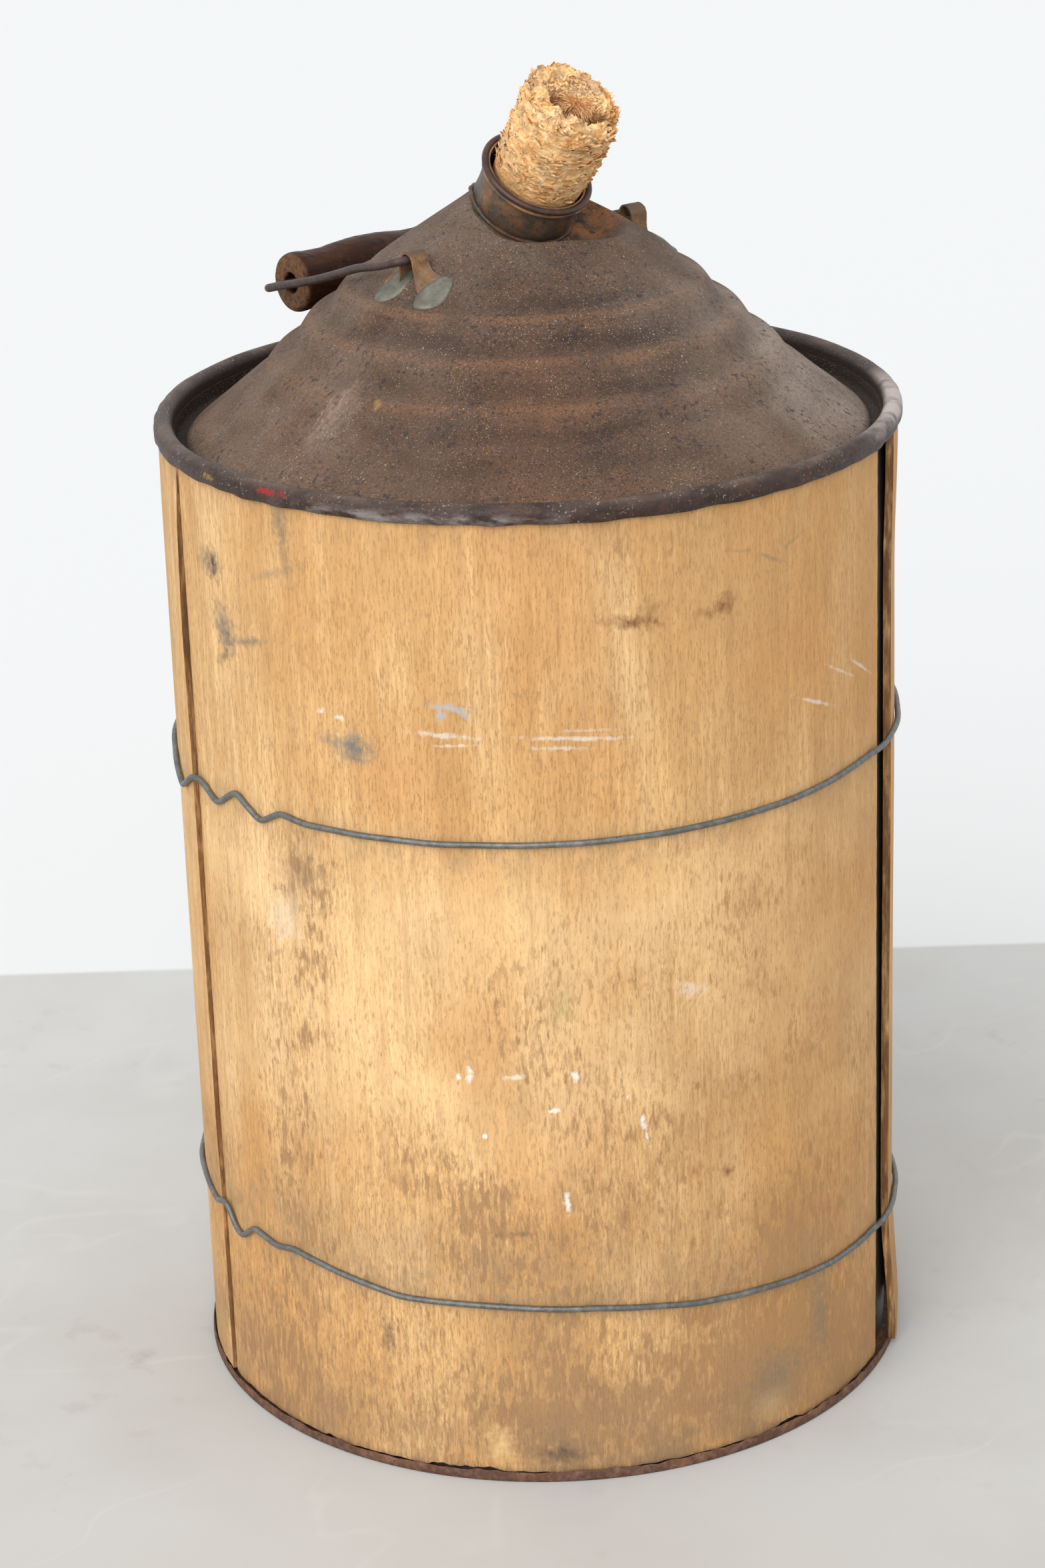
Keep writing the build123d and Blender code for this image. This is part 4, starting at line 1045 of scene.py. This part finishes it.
def cob_scales(build, draw):
    """Papery scales in staggered rows, each one a small curled sheet."""
    rows = int((COB_SHOULDER - 17.0) / SCALE_PITCH) + 1
    places = []
    for column in range(SCALE_COLUMNS):
        shift = 0.5 * (column % 2) + draw.uniform(-0.15, 0.15)
        for row in range(rows):
            places.append((column + 0.5, 17.6 + (row + shift) * SCALE_PITCH, 5.0, 2.5))
            places.append((column + 0.15, 18.6 + (row + shift) * SCALE_PITCH, 3.2, 2.1))
            places.append((column + 0.85, 18.8 + (row + shift) * SCALE_PITCH, 3.2, 2.0))
            places.append((column + draw.uniform(), 18.2 + (row + shift) * SCALE_PITCH, 1.8, 1.7))
    for _ in range(26):
        places.append((draw.uniform(225, 300) / 360 * SCALE_COLUMNS, draw.uniform(33, 47), 6.5, 4.2))
    places = np.array(places)
    count = len(places)
    turn = (places[:, 0] + draw.normal(0, 0.07, count)) * 2 * math.pi / SCALE_COLUMNS
    station = places[:, 1] + draw.normal(0, 0.35, count)
    width = places[:, 2] * draw.uniform(0.75, 1.2, count)
    length = places[:, 3] * draw.uniform(0.75, 1.35, count)
    out = cob_outward(turn)
    beside = -np.sin(turn)[:, None] * ACROSS + np.cos(turn)[:, None] * UP_SLOPE
    lean = draw.uniform(0.05, 0.85, count)[:, None]
    roll = draw.normal(0, 0.5, count)[:, None]
    rise = unit(np.cos(lean) * UP_NECK + np.sin(lean) * out + np.tan(roll) * 0.6 * beside)
    wide = unit(beside - (beside * rise).sum(-1, keepdims=True) * rise)
    face = np.cross(wide, rise)
    limit = cob_top(COB_RIM * np.cos(turn), COB_RIM * np.sin(turn))
    radius = np.interp(station, COB_STATIONS, COB_RADII) - draw.uniform(0.2, 0.9, count)
    root = cob_ring(radius, turn, np.minimum(station, limit - 1.0))
    u = np.linspace(-1, 1, 5)[None, None, :, None]
    v = np.linspace(0, 1, 4)[None, :, None, None]
    taper = np.sqrt(1 - 0.75 * v ** 2) * (0.75 + 0.25 * np.sin(math.pi * v))
    cup = draw.uniform(-1.0, 0.2, count)[:, None, None, None]
    curl = draw.uniform(-0.9, 0.6, count)[:, None, None, None]
    spread = [each[:, None, None, :] for each in (root, wide, rise, face)]
    size = [each[:, None, None, None] for each in (width, length)]
    sheet = (spread[0] + spread[1] * u * taper * size[0] / 2 + spread[2] * v * size[1] * (1 - 0.25 * u ** 2)
             + spread[3] * (cup * u ** 2 + curl * v ** 2))
    sheet = sheet + 0.22 * np.stack([ripple(sheet, 2.2, seed) for seed in (65, 66, 67)], -1)
    thick = 0.10 * spread[3] * (1.2 - v)
    build.scales(np.stack([sheet + thick, sheet - thick], 1))


def cob_rim(build, draw):
    """Torn scales standing on the broken rim."""
    count = TORN_SCALES
    turn = draw.uniform(0, 2 * math.pi, count)
    reach = COB_RIM * draw.uniform(0.62, 1.04, count)
    x, y = reach * np.cos(turn), reach * np.sin(turn)
    out = cob_outward(turn)
    rise = UP_NECK * draw.uniform(0.2, 1.0, count)[:, None] + 0.6 * draw.normal(size=(count, 3))
    rise = unit(rise + 0.3 * out)
    wide = unit(np.cross(rise, out + 0.5 * draw.normal(size=(count, 3))))
    face = np.cross(wide, rise)
    root = cob_point(x, y, cob_top(x, y) - 0.9)
    u, v = np.meshgrid(np.linspace(-1, 1, 4), np.linspace(0, 1, 4))
    width = draw.uniform(1.2, 3.2, count)[:, None, None, None]
    length = draw.uniform(1.2, 2.4, count)[:, None, None, None]
    curl = draw.uniform(-0.9, 0.9, count)[:, None, None, None]
    u, v = u[None, ..., None], v[None, ..., None]
    sheet = (root[:, None, None] + wide[:, None, None] * u * width / 2 * np.sqrt(1 - 0.7 * v ** 2)
             + rise[:, None, None] * v * length + face[:, None, None] * curl * v ** 2)
    thick = 0.10 * face[:, None, None] * (1.2 - v)
    build.scales(np.stack([sheet + thick, sheet - thick], 1))


def cob_fibres(build, draw):
    """Torn fibres that hang from the core into the crack, and fine hairs on the rim and side."""
    count = FIBRES
    turn = np.radians(draw.uniform(140, 325, count))
    reach = draw.uniform(0.5, 6.8, count)
    x, y = CORE_ACROSS + reach * np.cos(turn), CORE_SLOPE + reach * np.sin(turn)
    root = cob_point(x, y, cob_top(x, y) - 0.3)
    out = cob_outward(turn)
    fall = (draw.uniform(-0.9, -0.2, count) + 1.3 * smooth_step(reach, 2.0, 6.5))[:, None]
    along = unit(out - fall * UP_NECK + 0.22 * draw.normal(size=(count, 3)))
    build.thorns(root, root + along * draw.uniform(2.0, 3.8, count)[:, None], 0.34, skin=1)
    count = HAIRS
    turn = draw.uniform(0, 2 * math.pi, count)
    station = draw.uniform(18.5, COB_SHOULDER + 1.0, count)
    radius = np.interp(station, COB_STATIONS, COB_RADII) - 0.3
    root = cob_ring(radius, turn, station)
    out = cob_outward(turn)
    along = unit(out + 0.7 * draw.normal(size=(count, 3)))
    build.thorns(root, root + along * draw.uniform(0.6, 1.4, count)[:, None], 0.14)


def cob():
    """Maize cob pushed into the neck."""
    build, draw = Build(), np.random.default_rng(7)
    cob_body(build)
    cob_scales(build, draw)
    cob_rim(build, draw)
    cob_fibres(build, draw)
    pith = Paint("cob_pith", (0.86, 0.56, 0.29), 0.9, specular=0.2)
    pith.lay((0.62, 0.32, 0.13), pith.grain(1.4, 0.42, 0.62, detail=3))
    build.piece("cob", "stopper", "corn_cob", [corn_cob(), pith.done()], ["cob_stopper"], crease=60)


# ---------------------------------------------------------------- jacket and its wires
SHEET_ROWS = 130


def front_radius(degrees, height):
    """Outside of the front sheet."""
    place = cylinder_point(FRONT_RADIUS, degrees, height * 0.5)
    return FRONT_RADIUS + 0.22 * ripple(place, 120, 71) + 0.05 * ripple(place, 22, 72)


def right_radius(degrees, height):
    """Outside of the right sheet, sprung out at its free end and again at its lower corner."""
    place = cylinder_point(RIGHT_RADIUS, degrees, height * 0.5)
    from_end = degrees - RIGHT_SPAN[0]
    flare = 1.4 * np.exp(-from_end / 5) + 1.1 * smooth_step(height, 320, 372)
    corner = 3.4 * smooth_step(height, 66, 6) * np.exp(-(from_end / 17) ** 2)
    return RIGHT_RADIUS + 0.20 * ripple(place, 110, 73) + flare + corner


def back_radius(degrees, height):
    """Outside of the back sheet, a little proud along its joint with the front sheet."""
    place = cylinder_point(BACK_RADIUS, degrees, height * 0.5)
    proud = 0.9 * smooth_step(degrees, 148, 162) * smooth_step(height, 70, 120)
    under_hoop = smooth_step(height, 350, 374)
    return BACK_RADIUS + 0.18 * ripple(place, 115, 74) + proud * (1 - 0.6 * under_hoop) - 0.2 * under_hoop


def ragged(degrees, seed, deep=1.3):
    """Height of a sheet's chipped lower edge."""
    place = cylinder_point(FRONT_RADIUS, degrees, 0)
    chips = smooth_step(ripple(place, 30, seed), 0.55, 0.85) * deep
    return 3.2 + 0.35 * ripple(place, 9, seed + 1) + chips * (0.75 + 0.25 * ripple(place, 5, seed + 2))


def front_ends(height):
    """Angles of the front sheet's two edges."""
    place = np.stack([height, 0 * height], -1)
    return FRONT_SPAN[0] + 0.06 * ripple(place, 9, 75), FRONT_SPAN[1] + 0.08 * ripple(place, 7, 76)


def right_ends(height):
    """Angles of the right sheet's two edges: the near one is rough and wanders."""
    place = np.stack([height, 0 * height], -1)
    start = RIGHT_SPAN[0] + 0.10 * ripple(place, 11, 77) + 0.35 * np.sin(height / 95)
    start = start - 0.9 * smooth_step(height, 330, 372) - 1.3 * smooth_step(height, 330, 260)
    return start, RIGHT_SPAN[1] + 0 * height


def back_ends(height):
    """Angles of the back sheet's two edges: the joint at the left opens between hoop and upper wire."""
    place = np.stack([height, 0 * height], -1)
    levels = (0, 60, 250, 264, 290, 318, 345, 378)
    opening = np.interp(height, levels, (0.35, 0.3, 0.25, 0.2, 0.7, 1.05, 0.6, 0.05))
    return BACK_SPAN[0] + 0 * height, FRONT_SPAN[0] - opening + 0.05 * ripple(place, 10, 78)


def right_bottom(degrees):
    """Lower edge of the right sheet, with its corner broken off."""
    from_end = degrees - RIGHT_SPAN[0]
    broken = 9.0 * smooth_step(from_end, 1.2, 3.2) * smooth_step(from_end, 22, 6)
    return ragged(degrees, 86, 1.2) + broken


def jacket_sheet(name, node, radius, ends, bottom, columns, surface):
    """One bent veneer sheet with rough edges."""
    share = np.linspace(0, 1, columns)[None]
    rise = np.linspace(0, 1, SHEET_ROWS)[:, None]
    start, end = ends(rise * JACKET_TOP)
    degrees = start + (end - start) * share
    low = bottom(degrees[0])
    height = low + (JACKET_TOP - 0.2 - low) * rise ** 1.15
    start, end = ends(height[:, :1])
    degrees = start + (end - start) * share
    outer = radius(degrees, height)
    build = Build()
    inner = outer - VENEER
    build.slab(cylinder_point(outer, degrees, height), cylinder_point(inner, degrees, height), edge=1)
    build.piece(name, "can", "veneer", [surface, VENEER_EDGE], [node], crease=45)


# angle about Z, and how far each wire is pushed up there
UPPER_CRIMPS = [(140, 0), (147, -2), (152, -2.5), (158, -8), (164.5, 1.5), (171.5, -4.5), (177.2, 4.2),
                (183.5, -3.4), (187.8, 2.4), (193, 0.8), (206, 0.4), (225, 0), (250, -0.9), (281, -0.5),
                (310, 0)]
LOWER_CRIMPS = [(140, 0), (147, 1), (156, -1), (161.5, -2.5), (165.3, 1.3), (167.3, -6), (170.2, -9),
                (174.7, -0.8), (181.2, -2.4), (185.5, 0.5), (194, -1.4), (206, -4), (222, -1.6), (237, -0.5),
                (253, -2), (281, -2), (303, -0.2), (320, 0)]


BINDING_WIRE, BINDING_STAND = 1.15, 1.05     # radius, and how far its middle stands off the wood
TWIST_LENGTH, TWIST_TURNS = 12.5, 2.3


def wrapped_radius(degrees, height):
    """Radius on which a tight wire lies: it bridges the joints of the jacket."""
    front = (degrees >= FRONT_SPAN[0]) & (degrees <= FRONT_SPAN[1])
    back = (degrees >= BACK_SPAN[0]) & (degrees < FRONT_SPAN[0])
    right = right_radius(np.maximum(np.where(degrees < 53, degrees + 360, degrees), RIGHT_SPAN[0]), height)
    lie = np.where(front, front_radius(degrees, height), np.where(back, back_radius(degrees, height), right))
    reach = 5
    windows = np.lib.stride_tricks.sliding_window_view(np.pad(lie, reach, mode="wrap"), 2 * reach + 1)
    bridged = np.pad(windows.max(-1), reach, mode="wrap")
    weights = np.hanning(2 * reach + 3)[1:-1]
    return np.convolve(bridged, weights / weights.sum(), "valid")


def binding(name, node, wire, crimps, seed):
    """Wire drawn tight with crimps, its two ends twisted together at the back."""
    height, tilt, heading = wire
    degrees = TWIST_ANGLE + np.arange(1.0, 359.01, 0.5)
    wrapped = degrees % 360
    away = FRONT_RADIUS * np.sin(np.radians(wrapped - heading))
    angles, offsets = np.array(crimps).T
    crimp = np.convolve(np.pad(np.interp(wrapped, angles, offsets, 0, 0), 2, mode="edge"),
                        (0.1, 0.23, 0.34, 0.23, 0.1), "valid")
    z = height + away * math.tan(math.radians(tilt)) + crimp
    lie = wrapped_radius(wrapped, z) + BINDING_STAND
    loop = cylinder_point(lie, wrapped, z)
    loop += 0.15 * np.stack([ripple(loop, 30, seed + i) for i in range(3)], -1)
    down = np.linspace(0, 1, 40)
    strands = []
    for end in (0, 1):
        spin = math.pi * end + 2 * math.pi * TWIST_TURNS * down
        centre = cylinder_point(lie[0] + 1.3, TWIST_ANGLE, z[0] - 1.5 - TWIST_LENGTH * down)
        out = cylinder_point(1.0, TWIST_ANGLE, 0.0)
        beside = cylinder_point(1.0, TWIST_ANGLE + 90, 0.0)
        round_middle = np.cos(spin)[:, None] * out * 0.9 + np.sin(spin)[:, None] * beside
        strands.append(centre + BINDING_WIRE * round_middle)
    path = np.concatenate([strands[0][::-1], loop, strands[1]])
    for _ in range(2):
        path[1:-1] = (path[:-2] + 2 * path[1:-1] + path[2:]) / 4
    build = Build()
    build.rod(path, BINDING_WIRE, unit(path * (1, 1, 0)), sides=12)
    build.piece(name, "can", "binding_iron", [BINDING_IRON], [node])


# ---------------------------------------------------------------- hoops
HOOP_COLUMNS = 540


def hoop(name, node, outline, columns, material, shape, slot):
    """A turned hoop from its closed section, changed by a function of section and angle."""
    outline = np.array(outline)
    degrees = np.arange(columns) * 360 / columns
    radius, height = shape(outline[:, :1], outline[:, 1:], degrees[None])
    build = Build()
    build.quads(build.add(cylinder_point(radius, degrees[None], height)), wrap_rows=True, wrap_columns=True)
    build.piece(name, "can", slot, [material], [node], crease=50)


def top_hoop():
    """Rolled top hoop, crimped along its lower edge and dented by use."""
    inner, skirt, inner_skirt, sheet = 133.05, 377.0, 372.0, 0.7
    half = (RIM_RADIUS - inner) / 2
    middle, spring = inner + half, RIM_TOP - half
    turn = np.linspace(0, math.pi, 19)
    outside = [(RIM_RADIUS - 0.55, skirt), (RIM_RADIUS - 0.1, skirt + 0.5), (RIM_RADIUS, skirt + 1.6)]
    outside += [(middle + half * math.cos(t), spring + half * math.sin(t)) for t in turn]
    inside = [(middle - (half - sheet) * math.cos(t), spring + (half - sheet) * math.sin(t)) for t in turn]
    outline = outside + [(inner, inner_skirt), (inner + sheet, inner_skirt)] + inside
    outline += [(RIM_RADIUS - sheet, skirt + 0.5)]

    def shape(radius, height, degrees):
        place = cylinder_point(RIM_RADIUS, degrees, 0)
        outer = smooth_step(radius, 137.5, 139.5)
        low = smooth_step(height, 380.0, 377.2) * outer
        crimp = np.abs(np.sin(np.radians(degrees) * 21 + 0.8 * ripple(place, 60, 91)))
        radius = radius - 0.40 * low * (1 - crimp) + 0.12 * outer * ripple(place, 13, 92)
        height = height + 0.24 * low * ripple(place, 14, 93) + 0.12 * ripple(place, 45, 94)
        return radius, height

    hoop("hoop_top", "top_hoop", outline, HOOP_COLUMNS, top_hoop_iron(), shape, "top_hoop_iron")


def bottom_hoop():
    """Channel under tank and jacket, its lip eaten by rust."""
    outer, lip, inner = 140.1, 4.0, 132.3
    outline = [(outer, 0.5), (outer, 1.6), (outer, lip - 0.4), (outer - 0.25, lip), (outer - 0.55, lip - 0.1),
               (outer - 0.7, lip - 0.6), (outer - 0.7, 0.9), (inner + 0.75, 0.8), (inner + 0.75, 5.0),
               (inner, 5.0), (inner, 0.2), (inner + 0.2, 0.0), (outer - 0.5, 0.0)]

    def shape(radius, height, degrees):
        place = cylinder_point(outer, degrees, 0)
        low = smooth_step(height, 1.0, 3.4) * (radius > 139)
        height = height + low * (0.32 * ripple(place, 8, 95) + 0.22 * ripple(place, 30, 96))
        return radius - 0.25 * low * np.abs(ripple(place, 16, 97)), height

    hoop("hoop_bottom", "bottom_hoop", outline, HOOP_COLUMNS, bottom_hoop_iron(), shape, "bottom_hoop_iron")


# ---------------------------------------------------------------- camera, light and floor
CAMERA_AZIMUTH = math.radians(39.5)      # the camera stands this far round from -Y towards -X
CAMERA_DISTANCE, CAMERA_HEIGHT = 1.4026, 0.7675          # metres
CAMERA_PITCH, CAMERA_YAW, CAMERA_ROLL = 0.3668, -0.0046, -0.0326
CAMERA_LENS = 88.5
FLOOR_DEPTH = 353.0          # from the can's middle to the far edge of the grey floor
SUN_SIDE, SUN_RISE = math.radians(24), math.radians(36)  # left of the camera, and above the floor
SUN_POWER, SUN_SPREAD, SKY_POWER = 2.15, math.radians(58), 0.93


def camera():
    """Camera at the standing height and distance of a person photographing the can."""
    swing = Matrix.Rotation(-CAMERA_AZIMUTH, 3, "Z")
    forward = Vector((math.sin(CAMERA_YAW) * math.cos(CAMERA_PITCH),
                      math.cos(CAMERA_YAW) * math.cos(CAMERA_PITCH), -math.sin(CAMERA_PITCH)))
    right = forward.cross(Vector((0, 0, 1))).normalized()
    up = right.cross(forward)
    turn = Matrix.Rotation(CAMERA_ROLL, 3, -forward)
    axes = Matrix((turn @ right, turn @ up, -forward)).transposed()
    made = bpy.data.objects.new("camera", bpy.data.cameras.new("camera"))
    made.data.lens = CAMERA_LENS
    made.data.clip_start = 0.01
    place = swing @ Vector((0, -CAMERA_DISTANCE, CAMERA_HEIGHT))
    made.matrix_world = Matrix.Translation(place) @ (swing @ axes).to_4x4()
    bpy.context.scene.collection.objects.link(made)
    bpy.context.scene.camera = made


def lights():
    """Pale even sky and one broad soft light from the left."""
    world = bpy.data.worlds.new("studio")
    bpy.context.scene.world = world
    world.use_nodes = True
    world.node_tree.nodes["Background"].inputs["Color"].default_value = (0.97, 0.985, 1.0, 1)
    world.node_tree.nodes["Background"].inputs["Strength"].default_value = SKY_POWER
    sun = bpy.data.objects.new("soft_light", bpy.data.lights.new("soft_light", "SUN"))
    sun.data.energy = SUN_POWER
    sun.data.angle = SUN_SPREAD
    sun.data.color = (1.0, 0.985, 0.95)
    heading = CAMERA_AZIMUTH + SUN_SIDE
    towards = Vector((-math.sin(heading) * math.cos(SUN_RISE), -math.cos(heading) * math.cos(SUN_RISE),
                      math.sin(SUN_RISE)))
    sun.rotation_mode = "QUATERNION"
    sun.rotation_quaternion = towards.to_track_quat("Z", "Y")
    bpy.context.scene.collection.objects.link(sun)
    bpy.context.scene.view_settings.view_transform = "Standard"


def floor():
    """Pale floor, grey under the can and white beyond."""
    paint = Paint("floor", (0.545, 0.545, 0.535), 0.65, specular=0.2)
    away = (math.sin(CAMERA_AZIMUTH) / MM, math.cos(CAMERA_AZIMUTH) / MM, 0)
    dot = paint.node("ShaderNodeVectorMath", {0: paint.place, 1: away}, operation="DOT_PRODUCT")
    depth = dot.outputs["Value"]
    paint.lay((0.470, 0.435, 0.390), paint.span(depth, -150, -330), 0.7)
    paint.lay((0.420, 0.405, 0.380), paint.grain(160, 0.42, 0.7, detail=5), 0.4)
    one, other = (paint.grain(150, *ends, stretch=(1.8, 1, 1), detail=3, warp=0.4)
                  for ends in ((0.492, 0.5), (0.508, 0.5)))
    crease = paint.both(one, other, paint.grain(90, 0.42, 0.56), paint.span(depth, 340, 300))
    paint.lay((0.66, 0.65, 0.63), crease, 0.22)
    stain = paint.both(paint.grain(18, 0.58, 0.74, detail=6), paint.grain(200, 0.5, 0.62), 0.3)
    paint.lay((0.30, 0.25, 0.20), stain)
    paint.lay((0.70, 0.71, 0.715), paint.span(depth, FLOOR_DEPTH - 2, FLOOR_DEPTH + 2))
    build = Build()
    reach = np.linspace(-9000, 9000, 5)
    build.quads(build.add(np.stack(np.broadcast_arrays(reach[:, None], reach[None], 0.0), -1)))
    mesh = bpy.data.meshes.new("floor")
    mesh.from_pydata((np.concatenate(build.points) * MM).tolist(), [], build.faces)
    mesh.materials.append(paint.done())
    made = bpy.data.objects.new("floor", mesh)
    bpy.context.scene.collection.objects.link(made)


# ---------------------------------------------------------------- everything in place
EAR_IRON, PAD_SOLDER, BINDING_IRON = ear_iron(), pad_solder(), binding_iron()
VENEER_EDGE = bare_wood("veneer_edge", end_grain=True)
JACKET_WOOD, FRONT_WOOD = bare_wood("veneer_side"), bare_wood("veneer_front", marked=True)

camera()
lights()
floor()
breast()
neck()
for side_name, side_sign, side_stride in (("ear_right", 1, 0.6), ("ear_left", -1, 3.6)):
    ear(side_name, side_sign, side_stride)
    ear_pads(side_name, side_sign)
bail()
grip()
cob()
jacket_sheet("front_sheet", "jacket_front", front_radius, front_ends, lambda d: ragged(d, 81), 270,
             FRONT_WOOD)
jacket_sheet("right_sheet", "jacket_right", right_radius, right_ends, right_bottom, 220, JACKET_WOOD)
jacket_sheet("back_sheet", "jacket_back", back_radius, back_ends, lambda d: ragged(d, 101), 220,
             JACKET_WOOD)
binding("wire_upper", "binding_wire_upper", UPPER_WIRE, UPPER_CRIMPS, 111)
binding("wire_lower", "binding_wire_lower", LOWER_WIRE, LOWER_CRIMPS, 121)
top_hoop()
bottom_hoop()

TINPLATE, SEAM_SOLDER = tank_tinplate(), solder_metal("seam_solder", (0.20, 0.20, 0.185)).done()
kept_finishes = {"tank_shell": TINPLATE, "tank_bottom": TINPLATE,
                 "tank_seam_solder": SEAM_SOLDER, "bottom_seam_solder": SEAM_SOLDER}
for node_name, finish in kept_finishes.items():
    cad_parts[node_name].material_slots[0].material = finish
